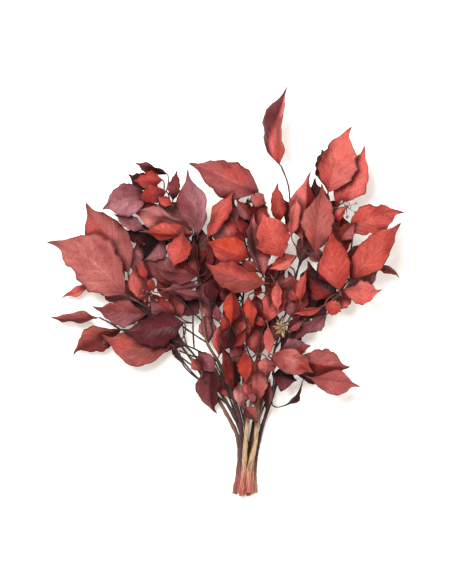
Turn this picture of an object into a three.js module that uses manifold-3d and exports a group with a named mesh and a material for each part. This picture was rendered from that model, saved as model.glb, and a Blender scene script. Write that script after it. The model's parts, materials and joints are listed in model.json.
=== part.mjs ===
// A bunch of preserved ivy branches, cut and lying down.
// X runs across the bunch, Y from the cut ends to the leaf tips, and Z is up.
import * as THREE from 'three';
import { toCreasedNormals } from 'three/addons/utils/BufferGeometryUtils.js';
import Module from 'manifold-3d';

const wasm = await Module();
wasm.setup();

// Driving sizes in millimetres
const BUNCH_LENGTH = 450;
const BLADE_THICKNESS = 0.75;
const PETIOLE_RADIUS = 0.9;
const STALK_RADIUS = 0.6;
const KNOB_LENGTH = 1.6;
const LEAF_GAP = 1.0;
const STALK_GAP = 0.7;
const PRESS_MARGIN = 0.05;
const SMALLEST_DETAIL = 0.1;

// The bunch is laid out on a grid of units, with the middle of the cut ends at zero
const LAYOUT_LENGTH = 411;
const UNIT = BUNCH_LENGTH / LAYOUT_LENGTH;
const BARE_LENGTH = 75 * UNIT;
const MIDDLE_X = -10;
const MIDDLE_Y = 225;
const FINE_LEAF_LENGTH = 44;
const BACKED_LEAF_LENGTH = 60;
const BACK_LEAVES_END = 350;

// Proportions of a blade: places along its rib and the half width there
const FINE = { places: [0, 0.12, 0.33, 0.57, 0.8, 1], widths: [0.1, 0.64, 1, 0.92, 0.46, 0] };
const PLAIN = { places: [0, 0.16, 0.42, 0.7, 1], widths: [0.12, 0.74, 1, 0.64, 0] };
const COARSE = { places: [0, 0.27, 0.68, 1], widths: [0.12, 0.95, 0.8, 0] };
const FULL_WIDTH = 0.47;
const WIDTH_RESERVE = 1.06;
const FOLD = 0.3;
const ARCH = 0.05;
const DROOP = 0.07;
const WAVE = 0.11;
const TWIST = 0.5;
const TWIST_PACE = 1.3;
const DROOP_PACE = 0.9;
const LOBE = 0.09;
const LEFT_LOBE = { pace: 1.1, turns: 7 };
const RIGHT_LOBE = { pace: 2.3, turns: 6 };
const LEFT_RIPPLE = 10;
const RIGHT_RIPPLE = 11;
const RIPPLE_OFFSET = 2;
const FLATTEST = 0.1;
const PHASE_STEP = 1.7;

// A leaf stalk's bend, and how its place on the wood is weighed
const STALK_BEND_PLACE = 0.62;
const STALK_BEND = 0.15;
const AHEAD_COST = 0.8;
const ABOVE_COST = 0.5;
const JOINT_SPACING = 7;
const JOINT_COUNT = 4;
const JOINT_COST = 8;
const LIFT_STEP = 3;
const LIFT_COUNT = 11;
const LOWERED_COST = 1;
const GAP_SCALES = [1, 0.5];

// Leaves behind the shown ones are turned inward, shorter and lower, by amounts drawn from these
const BACK_TURN = { least: 0.1, spread: 0.35 };
const BACK_REACH = { least: 0.5, spread: 0.25 };
const BACK_DEPTH = { least: 14, spread: 14 };
const BACK_RISE = { least: -4, spread: -12 };
const BACK_BOW = { least: 0, spread: 2 };
const BACK_START = 3;
const BACK_LEAST_WIDTH = 10;
const BACK_EXTRA_WIDTH = 8;

// The stalks of an umbel lean out by one of three amounts in turn
const UMBEL_LEANS = [0.35, 0.675, 1];
const UMBEL_RISE = 1.4;
const KNOB_TAPER = 0.8;

const CREASE = 0.6;
const STEEP = 0.9;
const ROUGHNESS = 0.55;
const CANE_SIDES = 7;
const TWIG_SIDES = 4;
const STALK_SIDES = 4;
const GOLDEN_TURN = 2.4;
const SEED = 20;

// A cane or twig is a list of points: across and along in layout units, height and radius in mm.
// A leaf is base across and along, tip across and along, shown width, height, rise, turn and bow.
const STEMS = [
  {
    name: 'stem_outer_left',
    colour: 'coral',
    cane: [
      [-10.5, 2, 2.8, 2.8], [-6, 28, 2.9, 2.8], [-7, 58, 7, 2.4], [-19, 84, 14, 2.2],
      [-42, 120, 22, 1.9], [-65, 153, 31, 1.7], [-95, 188, 42, 1.5], [-117, 202, 50, 1.3],
    ],
    twigs: [
      [[-95, 188, 42, 1.3], [-107, 204, 46, 1.2], [-117, 220, 48, 1.1]],
      [[-117, 202, 50, 1.2], [-134, 208, 38, 1.1], [-148, 212, 30, 1]],
      [[-65, 153, 31, 1.3], [-84, 166, 33, 1.1], [-96, 180, 40, 1]],
    ],
    leaves: [
      [-121, 204, -196, 260, 50, 64, 2, 1, -7],
      [-117, 226, -164, 296, 38, 52, -12, 1, -3],
      [-99, 184, -153, 190, 24, 46, -8, -1, 2],
      [-155, 213, -187, 201, 10, 28, -8, 1, 2],
    ],
    inner: [
      [-98, 196, -112, 234, 22, 44, -6, 1, 1],
      [-90, 178, -114, 198, 20, 34, -2, 1, 1],
    ],
  },
  {
    name: 'stem_low_left',
    colour: 'burgundy',
    cane: [
      [-3.5, 0, 2.8, 2.8], [-0.8, 28, 2.9, 2.8], [-2, 58, 4, 2.4], [-17, 92, 8, 2.1],
      [-38, 123, 14, 1.8], [-58, 150, 18, 1.6], [-90, 166, 19, 1.4], [-125, 168, 20, 1.2],
    ],
    twigs: [
      [[-125, 168, 20, 1.1], [-138, 176, 26, 1], [-146, 180, 31, 0.9]],
      [[-38, 123, 14, 1.4], [-56, 134, 22, 1.2], [-72, 147, 31, 1]],
      [[-17, 92, 8, 1.2], [-40, 112, 10, 1], [-56, 128, 13, 0.9], [-69, 146, 18, 0.8]],
      [[-2, 58, 4, 1.3], [-10, 86, 10, 1.1], [-24, 116, 15, 0.9]],
    ],
    leaves: [
      [-148, 180, -196, 181, 11, 34, -4, 1, 3],
      [-125, 168, -176, 144, 22, 30, -8, -1, -4],
      [-74, 153, -145, 161, 36, 42, -8, 1, 8],
      [-62, 175, -124, 166, 34, 60, -6, -1, 2],
      [-73, 152, -64, 133, 6, 32, -8, 1, 1],
    ],
    inner: [
      [-10, 96, -24, 136, 18, 36, 4, 1, 1],
      [-60, 152, -108, 176, 26, 30, -4, 1, 2],
    ],
  },
  {
    name: 'stem_left',
    colour: 'mauve',
    cane: [
      [-6.5, 4, 8, 2.8], [-3.4, 28, 8.2, 2.8], [-5, 76, 19, 2.6], [-15, 109, 29, 2.6],
      [-28, 138, 38, 2.5], [-38, 155, 44, 2.2], [-42, 176, 48, 1.8], [-47, 218, 54, 1.6],
      [-49, 258, 58, 1.4], [-55, 290, 60, 1.2],
    ],
    twigs: [
      [[-49, 250, 57, 1.3], [-66, 270, 62, 1.2], [-80, 290, 67, 1.1], [-92, 302, 69, 1]],
      [[-48, 222, 55, 1.3], [-60, 240, 62, 1.2], [-73, 256, 60, 1]],
      [[-38, 155, 44, 1.1], [-52, 164, 44, 0.9], [-62, 171, 40, 0.8]],
      [[-42, 176, 48, 1.1], [-60, 193, 56, 0.9], [-78, 208, 60, 0.8]],
      [[-29, 138, 38, 1.1], [-51, 149, 42, 0.9], [-70, 157, 47, 0.8]],
      [[-51, 149, 42, 0.9], [-52, 166, 50, 0.8], [-52, 184, 56, 0.8]],
      [[-16, 109, 29, 1.1], [-46, 118, 36, 0.9], [-62, 133, 40, 0.8], [-66, 145, 44, 0.8]],
      [[-4.6, 64, 16.3, 1.2], [-13, 92, 26, 1], [-22, 118, 33, 0.9], [-33, 141, 40, 0.8]],
      [[-28, 137, 37, 1], [-42, 141, 36, 0.8], [-50, 141, 34, 0.8], [-66, 147, 34, 0.7]],
      [[-38, 155, 44, 0.9], [-33, 164, 46, 0.8], [-35, 176, 49, 0.7]],
    ],
    leaves: [
      [-98, 303, -144, 289, 32, 72, -6, 1, -2],
      [-83, 318, -112, 318, 18, 78, 2, 1, 1],
      [-78, 324, -111, 334, 9, 70, 4, -1, -2],
      [-79, 306, -108, 297, 18, 88, -8, -1, -2],
      [-73, 293, -87, 302, 10, 96, 0, 1, 1],
      [-72, 298, -68, 328, 13, 80, 6, 1, 1],
      [-47, 264, -60, 329, 24, 84, 4, -1, -3],
      [-62, 264, -73, 230, 24, 102, -10, 1, 2],
      [-53, 264, -107, 267, 15, 94, -6, 1, 2],
      [-80, 263, -103, 236, 24, 56, -10, -1, 1],
      [-53, 268, -118, 289, 22, 80, -4, -1, -2],
      [-102, 269, -131, 285, 14, 62, 0, 1, 1],
      [-48, 222, -92, 229, 14, 76, -4, -1, 2],
      [-45, 201, -73, 208, 12, 78, -4, 1, 1],
      [-33, 134, -31, 82, 24, 36, -16, 1, -4],
      [-46, 213, -82, 208, 13, 66, -4, 1, 1],
      [-70, 178, -98, 208, 20, 66, -8, 1, 2],
      [-64, 180, -74, 209, 16, 58, -6, -1, 1],
      [-92, 207, -94, 221, 9, 64, 2, 1, 1],
      [-99, 219, -103, 237, 9, 60, 2, -1, 1],
      [-46, 224, -50, 262, 11, 70, 4, -1, 2],
      [-39, 226, -37, 263, 9, 66, 4, 1, -2],
      [-30, 196, -36, 220, 14, 64, 2, -1, 1],
      [-44, 127, -54, 141, 10, 50, 2, 1, 1],
    ],
    inner: [
      [-96, 212, -108, 262, 26, 46, -6, -1, 1],
      [-42, 215, -36, 268, 22, 46, 4, 1, -2],
      [-34, 176, -40, 236, 26, 58, -4, 1, 1],
      [-58, 214, -102, 238, 26, 54, -6, -1, -2],
      [-88, 312, -118, 323, 18, 66, -4, 1, 1],
      [-80, 280, -112, 296, 20, 58, -4, -1, 1],
      [-46, 232, -44, 274, 20, 52, 4, 1, 1],
      [-88, 258, -122, 266, 20, 60, -4, 1, -1],
      [-26, 142, -21, 178, 16, 40, 4, 1, 1],
      [-46, 198, -66, 182, 16, 50, -2, 1, 1],
      [-58, 196, -92, 224, 24, 50, -4, 1, 1],
      [-47, 222, -72, 240, 20, 50, -2, 1, 1],
      [-36, 156, -38, 188, 16, 38, 2, 1, 1],
      [-30, 126, -48, 148, 16, 34, 2, 1, 1],
    ],
  },
  {
    name: 'stem_centre_left',
    colour: 'coral',
    cane: [
      [0, 1, 8, 2.8], [1.8, 28, 8.2, 2.8], [1, 70, 15, 2.3], [-2, 138, 28, 2],
      [-2, 198, 37, 1.7], [5, 241, 42, 1.5], [15, 285, 46, 1.3],
    ],
    twigs: [
      [[-2, 198, 37, 1.3], [-16, 226, 54, 1.2], [-31, 250, 68, 1]],
      [[5, 241, 42, 1.3], [-1, 262, 56, 1.1], [4, 296, 66, 1]],
      [[1, 70, 15, 1.3], [-6, 96, 22, 1.1], [-14, 124, 29, 0.9]],
    ],
    leaves: [
      [13, 306, -56, 336, 36, 80, 0, 1, 0],
      [20, 295, 5, 303, 15, 90, 2, -1, 1],
      [-37, 262, -11, 306, 20, 92, 4, 1, 2],
      [4, 241, -39, 258, 28, 102, -6, 1, 2],
      [19, 215, -42, 233, 30, 112, -10, -1, 2],
      [-13, 206, -14, 173, 19, 104, -12, 1, 1],
      [-8, 297, -5, 313, 9, 84, 2, 1, 1],
      [8, 278, -9, 299, 13, 78, 2, -1, 1],
      [4, 261, -7, 284, 11, 72, 2, 1, 1],
      [14, 226, -6, 241, 9, 96, 0, -1, 1],
      [-26, 176, -29, 194, 10, 70, 2, 1, 1],
    ],
    inner: [
      [-4, 240, -28, 292, 26, 58, 2, 1, 1],
      [-4, 150, -14, 206, 28, 64, 4, -1, 1],
      [-8, 106, -22, 152, 20, 44, 4, 1, 1],
      [10, 256, 1, 300, 22, 58, 4, 1, 1],
      [-8, 192, -22, 224, 18, 62, 0, 1, 1],
      [-2, 132, -12, 164, 16, 52, 4, -1, 1],
      [12, 260, 16, 304, 20, 60, 2, 1, 1],
      [-14, 258, -12, 300, 20, 62, 2, 1, 1],
      [-14, 196, -32, 222, 18, 46, 0, 1, 1],
    ],
  },
  {
    name: 'stem_centre',
    colour: 'coral',
    cane: [
      [3.5, 3, 13.3, 2.8], [4.4, 28, 13.5, 2.8], [11, 56, 19, 2.5], [12, 74, 24, 2.4],
      [13, 109, 34, 2.2], [17, 158, 45, 1.9], [31, 218, 56, 1.6], [39, 245, 60, 1.4],
      [45, 293, 66, 1.2], [43, 314, 70, 1.1], [36, 332, 75, 1],
    ],
    twigs: [
      [[31, 218, 56, 1.2], [44, 232, 70, 1.1], [50, 240, 82, 0.9]],
    ],
    leaves: [
      [34, 334, 45, 411, 24, 79, 8, -1, 9],
      [36, 241, 17, 286, 34, 100, 10, 1, 1],
      [34, 276, 31, 315, 17, 88, 4, 1, 1],
      [50, 242, 23, 229, 15, 94, -4, 1, 1],
      [48, 221, 25, 211, 10, 90, -2, -1, 1],
    ],
    inner: [
      [18, 222, 6, 284, 24, 66, 0, 1, 2],
      [15, 170, 10, 206, 18, 62, 4, -1, 1],
      [14, 140, 9, 182, 18, 56, 4, 1, 1],
      [24, 210, 38, 238, 20, 50, 0, 1, 1],
    ],
  },
  {
    name: 'stem_centre_right',
    colour: 'coral',
    cane: [
      [7, 2, 8, 2.8], [7, 28, 8.2, 2.8], [11, 62, 13, 2.4], [19, 104, 22, 2.1],
      [30, 148, 32, 1.8], [45, 198, 42, 1.6], [55, 233, 47, 1.5], [73, 260, 51, 1.3],
      [90, 288, 56, 1.1],
    ],
    twigs: [
      [[45, 198, 42, 1.3], [52, 224, 60, 1.2], [57, 250, 74, 1]],
      [[73, 260, 51, 1.2], [80, 280, 68, 1.1], [83, 298, 80, 1]],
      [[30, 148, 32, 1.1], [36, 160, 48, 1], [33, 172, 56, 0.9], [38, 182, 60, 0.8]],
      [[33, 172, 56, 0.9], [42, 176, 60, 0.8], [46, 182, 58, 0.7]],
    ],
    leaves: [
      [83, 306, 103, 372, 38, 92, 4, 1, 1],
      [92, 292, 122, 351, 30, 74, 2, -1, -1],
      [70, 246, 78, 314, 29, 104, 4, 1, 1],
      [57, 258, 62, 327, 26, 90, 2, -1, -1],
      [46, 263, 52, 301, 14, 96, 4, 1, 1],
      [55, 196, 62, 227, 10, 82, 2, -1, 1],
      [52, 196, 46, 209, 8, 74, 0, 1, 1],
    ],
    inner: [
      [52, 176, 46, 228, 26, 60, 4, -1, 1],
      [26, 152, 28, 194, 20, 48, 4, 1, 1],
      [80, 270, 68, 320, 24, 64, 4, 1, 1],
      [56, 236, 64, 268, 18, 42, 0, 1, 1],
    ],
  },
  {
    name: 'stem_right',
    colour: 'coral',
    cane: [
      [3.6, 0, 2.8, 2.8], [4.4, 28, 2.9, 2.8], [7, 60, 5, 2.4], [16, 100, 12, 2.1],
      [31, 138, 21, 1.9], [55, 173, 31, 1.7], [80, 193, 38, 1.5], [102, 218, 43, 1.3],
      [107, 252, 46, 1.1],
    ],
    twigs: [
      [[80, 193, 38, 1.3], [90, 200, 62, 1.2], [95, 206, 84, 1]],
      [[107, 252, 46, 1], [108, 264, 62, 0.9], [108, 268, 72, 0.9]],
      [[102, 218, 43, 1.1], [120, 226, 50, 1], [130, 229, 57, 0.9]],
      [[7, 60, 5, 1.3], [20, 92, 8, 1.1], [34, 124, 13, 0.9]],
    ],
    leaves: [
      [103, 267, 158, 288, 30, 80, -4, 1, 3],
      [105, 219, 155, 276, 33, 90, 0, -1, -2],
      [98, 208, 137, 206, 23, 104, -14, 1, -1],
      [93, 208, 85, 268, 32, 114, -4, 1, 2],
      [95, 258, 111, 276, 16, 84, 2, 1, 1],
      [88, 275, 102, 291, 10, 92, 2, -1, 1],
      [91, 201, 61, 223, 28, 80, -8, 1, 1],
      [132, 231, 155, 221, 8, 62, -4, 1, 3],
      [80, 193, 96, 186, 16, 98, -6, 1, 1],
      [77, 192, 47, 185, 8, 98, -4, -1, 1],
      [81, 183, 60, 163, 14, 84, -8, 1, 1],
    ],
    inner: [
      [64, 184, 66, 238, 26, 58, -4, 1, -1],
      [96, 238, 96, 288, 24, 62, -4, 1, 1],
      [62, 178, 90, 214, 22, 46, -4, -1, 1],
      [36, 146, 58, 172, 20, 44, -2, 1, 1],
      [50, 158, 64, 186, 20, 42, -2, 1, 1],
      [76, 236, 66, 252, 14, 50, 2, 1, 1],
      [86, 192, 110, 206, 18, 50, -4, 1, 1],
    ],
  },
  {
    name: 'stem_low_right',
    colour: 'burgundy',
    cane: [
      [10.5, 3, 2.8, 2.8], [9.6, 28, 2.9, 2.8], [15, 60, 7, 2.3], [27, 98, 17, 2],
      [38, 124, 28, 1.6], [54, 132, 38, 1.3],
    ],
    twigs: [
      [[27, 98, 17, 1.3], [29, 116, 40, 1.2], [28, 138, 66, 1]],
      [[38, 124, 28, 1.2], [44, 146, 42, 1.1], [44, 164, 54, 0.9]],
    ],
    leaves: [
      [27, 144, 68, 125, 28, 96, -16, 1, 3],
      [52, 137, 106, 128, 29, 56, -8, -1, 1],
      [66, 120, 116, 113, 22, 72, -14, 1, -1],
      [36, 91, 57, 118, 5, 50, 6, 1, -5],
      [28, 122, 52, 116, 24, 54, -6, -1, 1],
      [43, 168, 59, 178, 12, 62, 0, 1, 1],
    ],
    inner: [
      [34, 146, 67, 151, 20, 60, -6, 1, 2],
    ],
  },
  {
    name: 'stem_front',
    colour: 'coral',
    cane: [
      [-3.5, 0, 13.3, 2.8], [-0.8, 28, 13.5, 2.8], [1, 58, 24, 2.4], [3, 76, 31, 2.2],
      [7, 100, 43, 2], [11, 130, 55, 1.8], [15, 160, 66, 1.5], [24, 190, 76, 1.3],
      [30, 214, 86, 1],
    ],
    twigs: [
      [[11, 130, 55, 1.2], [2, 150, 72, 1.1], [0, 178, 86, 1]],
      [[2, 150, 72, 1.1], [-8, 162, 76, 1], [-14, 174, 78, 0.9]],
    ],
    leaves: [
      [3, 201, 8, 169, 13, 104, -8, 1, 1],
      [4, 180, 22, 172, 9, 98, -4, -1, 1],
      [0, 166, -12, 151, 10, 92, -4, 1, 1],
      [15, 214, 9, 200, 8, 92, -4, 1, 1],
      [-1, 178, -6, 165, 8, 90, -4, 1, 1],
      [22, 224, 21, 188, 10, 84, -6, -1, 1],
      [32, 215, 32, 186, 10, 102, -8, 1, 1],
      [23, 171, 24, 142, 12, 98, -8, 1, 1],
      [21, 141, 21, 123, 18, 94, -14, -1, 1],
      [0, 147, 0, 113, 13, 98, -10, 1, 1],
      [-13, 138, -12, 108, 12, 76, -12, -1, 1],
      [-14, 172, -21, 146, 16, 80, -8, 1, 1],
      [25, 117, 21, 82, 9, 66, -14, 1, 1],
      [-1, 91, 13, 74, 12, 58, -8, -1, 1],
      [6, 107, 8, 94, 8, 70, -4, 1, 1],
    ],
    inner: [
      [10, 92, 12, 142, 22, 52, 2, -1, 1],
      [-2, 88, -6, 118, 12, 44, 2, 1, 1],
      [22, 176, 38, 226, 22, 74, 0, 1, 1],
    ],
  },
];

// Leaves that the bunch lies on
const RESTING = [
  { stem: 'stem_outer_left', leaf: [-104, 196, -152, 220, 26, 26, -40, 1, 2] },
  { stem: 'stem_low_left', leaf: [-84, 160, -128, 148, 26, 14, -30, -1, 2] },
  { stem: 'stem_left', leaf: [-58, 268, -84, 306, 24, 34, -60, 1, 2] },
  { stem: 'stem_centre_right', leaf: [78, 262, 92, 306, 24, 32, -60, -1, 2] },
  { stem: 'stem_right', leaf: [98, 206, 138, 232, 26, 24, -50, 1, 2] },
  { stem: 'stem_low_right', leaf: [50, 126, 88, 124, 20, 22, -40, 1, 1] },
];

// Bare radiating flower stalks
const UMBELS = [
  { stem: 'stem_outer_left', centre: [-97, 203, 52], reach: 11, count: 8, lean: 0.9 },
  { stem: 'stem_centre_right', centre: [101, 291, 84], reach: 11, count: 9, lean: 0.5 },
];

const COLOURS = {
  coral: 0xb4524b,
  mauve: 0x7d3d4b,
  burgundy: 0x5a2430,
};

// Small vector helpers on plain arrays
function add(a, b, scale = 1) {
  return [a[0] + b[0] * scale, a[1] + b[1] * scale, a[2] + b[2] * scale];
}

function sub(a, b) {
  return [a[0] - b[0], a[1] - b[1], a[2] - b[2]];
}

function dot(a, b) {
  return a[0] * b[0] + a[1] * b[1] + a[2] * b[2];
}

function cross(a, b) {
  return [a[1] * b[2] - a[2] * b[1], a[2] * b[0] - a[0] * b[2], a[0] * b[1] - a[1] * b[0]];
}

function unit(a) {
  const size = Math.sqrt(dot(a, a));
  return [a[0] / size, a[1] / size, a[2] / size];
}

// Repeatable random numbers from 0 to 1
function randomFrom(seed) {
  let state = seed >>> 0;
  return () => {
    state = (state + 0x6d2b79f5) >>> 0;
    let mixed = Math.imul(state ^ (state >>> 15), state | 1);
    mixed ^= mixed + Math.imul(mixed ^ (mixed >>> 7), mixed | 61);
    return ((mixed ^ (mixed >>> 14)) >>> 0) / 4294967296;
  };
}

function drawn({ least, spread }, random) {
  return least + spread * random();
}

function solid(vertices, triangles) {
  const mesh = new wasm.Mesh({
    numProp: 3,
    vertProperties: new Float32Array(vertices.flat()),
    triVerts: new Uint32Array(triangles.flat()),
  });
  return new wasm.Manifold(mesh);
}

function toMillimetres(points) {
  return points.map(([x, y, z, r]) => [x * UNIT, y * UNIT, z, r]);
}

// A closed round-ish rod along a run
function rod(run, sides) {
  const vertices = [];
  const triangles = [];
  const first = unit(sub(run[1], run[0]));
  const reference = Math.abs(first[2]) > STEEP ? [1, 0, 0] : [0, 0, 1];
  let across = unit(cross(reference, first));
  run.forEach((point, i) => {
    const along = unit(sub(run[Math.min(i + 1, run.length - 1)], run[Math.max(i - 1, 0)]));
    across = unit(add(across, along, -dot(across, along)));
    const up = cross(along, across);
    for (let k = 0; k < sides; k += 1) {
      const angle = (k + 0.5) / sides * Math.PI * 2;
      vertices.push(add(add(point, across, Math.cos(angle) * point[3]), up, Math.sin(angle) * point[3]));
    }
  });
  for (let i = 0; i < run.length - 1; i += 1) {
    for (let k = 0; k < sides; k += 1) {
      const a = i * sides + k;
      const b = i * sides + (k + 1) % sides;
      triangles.push([a, b, b + sides], [a, b + sides, a + sides]);
    }
  }
  const last = (run.length - 1) * sides;
  for (let k = 1; k < sides - 1; k += 1) {
    triangles.push([0, k + 1, k], [last, last + k, last + k + 1]);
  }
  return { vertices, triangles };
}

// The middle sheet of a blade: rib and edge points with their normals
function bladeSheet(leaf, lift, { places, widths }, phase) {
  const [baseX, baseY, tipX, tipY, width, height, rise, turn, bow] = leaf;
  const base = [baseX * UNIT, baseY * UNIT, height + lift];
  const tip = [tipX * UNIT, tipY * UNIT, height + lift + rise];
  const shown = width * UNIT;
  const run = sub(tip, base);
  const length = Math.hypot(...run);
  const along = unit(run);
  const side = unit([-along[1], along[0], 0]);
  const up = cross(along, side);
  const full = Math.max(shown * WIDTH_RESERVE, length * FULL_WIDTH);
  const flat = shown / (full * Math.cos(FOLD));
  const roll = turn * Math.acos(Math.min(1, Math.max(FLATTEST, flat)));
  const tilted = (angle, way) => add(side.map((v) => way * v * Math.cos(angle)), up, Math.sin(angle));
  const raised = (angle, way) => add(side.map((v) => -way * v * Math.sin(angle)), up, Math.cos(angle));
  const twist = TWIST * Math.sin(phase * TWIST_PACE);
  const droop = DROOP * (1 + Math.sin(phase * DROOP_PACE));
  const lobed = (lobe, t) => 1 + LOBE * Math.sin(phase * lobe.pace + t * lobe.turns);
  return places.map((t, i) => {
    const hump = 4 * t * (1 - t);
    const sway = add(add(base, run, t), side, bow * UNIT * hump);
    const rib = add(sway, up, length * (ARCH * hump - droop * t * t));
    const half = widths[i] * full / 2;
    const wave = WAVE * full * widths[i];
    const leftTurn = FOLD + roll + twist * (t - 0.5);
    const rightTurn = FOLD - roll - twist * (t - 0.5);
    const leftUp = raised(leftTurn, 1);
    const rightUp = raised(rightTurn, -1);
    const left = add(rib, tilted(leftTurn, 1), half * lobed(LEFT_LOBE, t));
    const right = add(rib, tilted(rightTurn, -1), half * lobed(RIGHT_LOBE, t));
    return [
      [add(left, leftUp, wave * Math.sin(phase + t * LEFT_RIPPLE)), leftUp],
      [rib, unit(add(leftUp, rightUp))],
      [add(right, rightUp, wave * Math.sin(phase + RIPPLE_OFFSET + t * RIGHT_RIPPLE)), rightUp],
    ];
  });
}

// Rings of six corners: left, rib and right above, then right, rib and left below.
// Where corners share a point, the ring has fewer sides.
function skinned(vertices, rings, closeEnd) {
  const triangles = [];
  const face = (a, b, c) => {
    if (a !== b && b !== c && a !== c) {
      triangles.push([a, b, c]);
    }
  };
  for (let i = 0; i < rings.length - 1; i += 1) {
    const [la, ca, ra, rb, cb, lb] = rings[i];
    const [nla, nca, nra, nrb, ncb, nlb] = rings[i + 1];
    face(la, ca, nca);
    face(la, nca, nla);
    face(ca, ra, nca);
    face(ra, nra, nca);
    face(lb, ncb, cb);
    face(lb, nlb, ncb);
    face(cb, ncb, rb);
    face(rb, ncb, nrb);
    face(la, nla, nlb);
    face(la, nlb, lb);
    face(ra, rb, nrb);
    face(ra, nrb, nra);
  }
  const [left, above, right, , below] = rings[0];
  face(left, below, above);
  face(above, below, right);
  if (closeEnd) {
    const [endLeft, endAbove, endRight, , endBelow] = rings[rings.length - 1];
    face(endLeft, endAbove, endBelow);
    face(endAbove, endRight, endBelow);
  }
  return { vertices, triangles };
}

// Both faces of a blade point. What would pass below the ground lies flat on it.
function facesOf([point, normal]) {
  const half = BLADE_THICKNESS / 2;
  if (point[2] < half + PRESS_MARGIN) {
    return [[point[0], point[1], BLADE_THICKNESS], [point[0], point[1], 0]];
  }
  const above = add(point, normal, half);
  const below = add(point, normal, -half);
  return [above, [below[0], below[1], Math.max(below[2], 0)]];
}

function diamond(centre, across, up, radius) {
  const middle = [centre[0], centre[1], Math.max(centre[2], radius)];
  return [
    add(middle, across, radius),
    add(middle, up, radius),
    add(middle, across, -radius),
    add(middle, up, -radius),
  ];
}

// The leaf stalk's rings, from the wood to the root of the blade. A coarse leaf's stalk is straight.
function stalkRings(from, sheet, form) {
  const [left, rib, right] = sheet[0];
  const root = rib[0];
  const start = from.slice(0, 3);
  const ahead = unit(sub(sheet[1][1][0], root));
  const straight = sub(root, start);
  const middle = add(add(start, straight, STALK_BEND_PLACE), ahead, -STALK_BEND * Math.hypot(...straight));
  const isStraight = form === COARSE;
  const centres = isStraight ? [start, root] : [start, middle, root];
  const first = unit(isStraight ? straight : sub(middle, start));
  const last = unit(add(unit(isStraight ? straight : sub(root, middle)), ahead));
  const ways = isStraight ? [first, last] : [first, unit(straight), last];
  const rings = [];
  let across = unit(sub(left[0], right[0]));
  for (let i = centres.length - 1; i >= 0; i -= 1) {
    across = unit(add(across, ways[i], -dot(across, ways[i])));
    rings.unshift(diamond(centres[i], across, cross(ways[i], across), PETIOLE_RADIUS));
  }
  return rings;
}

// A whole leaf with its stalk, and each of the two by itself
function leafShapes(leaf, lift, form, phase, from) {
  const sheet = bladeSheet(leaf, lift, form, phase);
  const vertices = [];
  const stalk = stalkRings(from, sheet, form).map((corners) => {
    const first = vertices.length;
    vertices.push(...corners);
    return [first, first + 1, first + 2, first + 2, first + 3, first];
  });
  const rings = sheet.slice(1).map((station, i) => {
    const isTip = i === sheet.length - 2;
    const first = vertices.length;
    (isTip ? [station[1]] : station).forEach((item) => vertices.push(...facesOf(item)));
    return isTip
      ? [first, first, first, first + 1, first + 1, first + 1]
      : [first, first + 2, first + 4, first + 5, first + 3, first + 1];
  });
  return {
    whole: skinned(vertices, [...stalk, ...rings], false),
    stalk: skinned(vertices, stalk, true),
    blade: skinned(vertices, [stalk[stalk.length - 1], ...rings], false),
  };
}

// Places on a stem's wood where a leaf may join, the best first
function joints(net, base, way) {
  const ranked = net.map((point) => {
    const gap = sub(point, base);
    const ahead = Math.max(0, dot(gap, way));
    const above = Math.max(0, gap[1]);
    return { point, cost: Math.hypot(...gap) + AHEAD_COST * ahead + ABOVE_COST * above };
  });
  ranked.sort((a, b) => a.cost - b.cost);
  const chosen = [];
  ranked.forEach(({ point }) => {
    const apart = chosen.every((other) => Math.hypot(...sub(other, point)) > JOINT_SPACING);
    if (apart && chosen.length < JOINT_COUNT) {
      chosen.push(point);
    }
  });
  return chosen;
}

function boxOf(vertices) {
  const low = [Infinity, Infinity, Infinity];
  const high = [-Infinity, -Infinity, -Infinity];
  vertices.forEach((point) => {
    for (let axis = 0; axis < 3; axis += 1) {
      low[axis] = Math.min(low[axis], point[axis]);
      high[axis] = Math.max(high[axis], point[axis]);
    }
  });
  return { low, high };
}

function boxesMeet(a, b, gap) {
  return [0, 1, 2].every((axis) => a.low[axis] < b.high[axis] + gap && b.low[axis] < a.high[axis] + gap);
}

function solidOf(shape) {
  const used = [...new Set(shape.triangles.flat())];
  const place = new Map(used.map((old, i) => [old, i]));
  const vertices = used.map((old) => shape.vertices[old]);
  const triangles = shape.triangles.map((triangle) => triangle.map((old) => place.get(old)));
  return { body: solid(vertices, triangles), box: boxOf(vertices) };
}

function makePiece(stem, kind, shape) {
  return { stem, kind, ...solidOf(shape) };
}

// Whether a piece keeps its gap from other stems, and a blade also from its own stem's blades
function isClear(piece, obstacles, scale) {
  const gap = (piece.kind === 'blade' ? LEAF_GAP : STALK_GAP) * scale;
  const counts = (other) => other.stem !== piece.stem || (piece.kind === 'blade' && other.kind === 'blade');
  const isNear = (other) => boxesMeet(piece.box, other.box, gap);
  const touches = (other) => isNear(other) && piece.body.minGap(other.body, gap) < gap;
  return !obstacles.some((other) => counts(other) && touches(other));
}

// Heights and joints to try for a leaf, the least change first
function leafTries(count) {
  const tries = [];
  for (let joint = 0; joint < count; joint += 1) {
    for (let step = 0; step <= LIFT_COUNT; step += 1) {
      const lift = step * LIFT_STEP;
      const cost = lift + joint * JOINT_COST;
      tries.push({ joint, lift, cost });
      if (step > 0) {
        tries.push({ joint, lift: -lift, cost: cost + LOWERED_COST });
      }
    }
  }
  tries.sort((a, b) => a.cost - b.cost);
  return tries;
}

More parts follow.
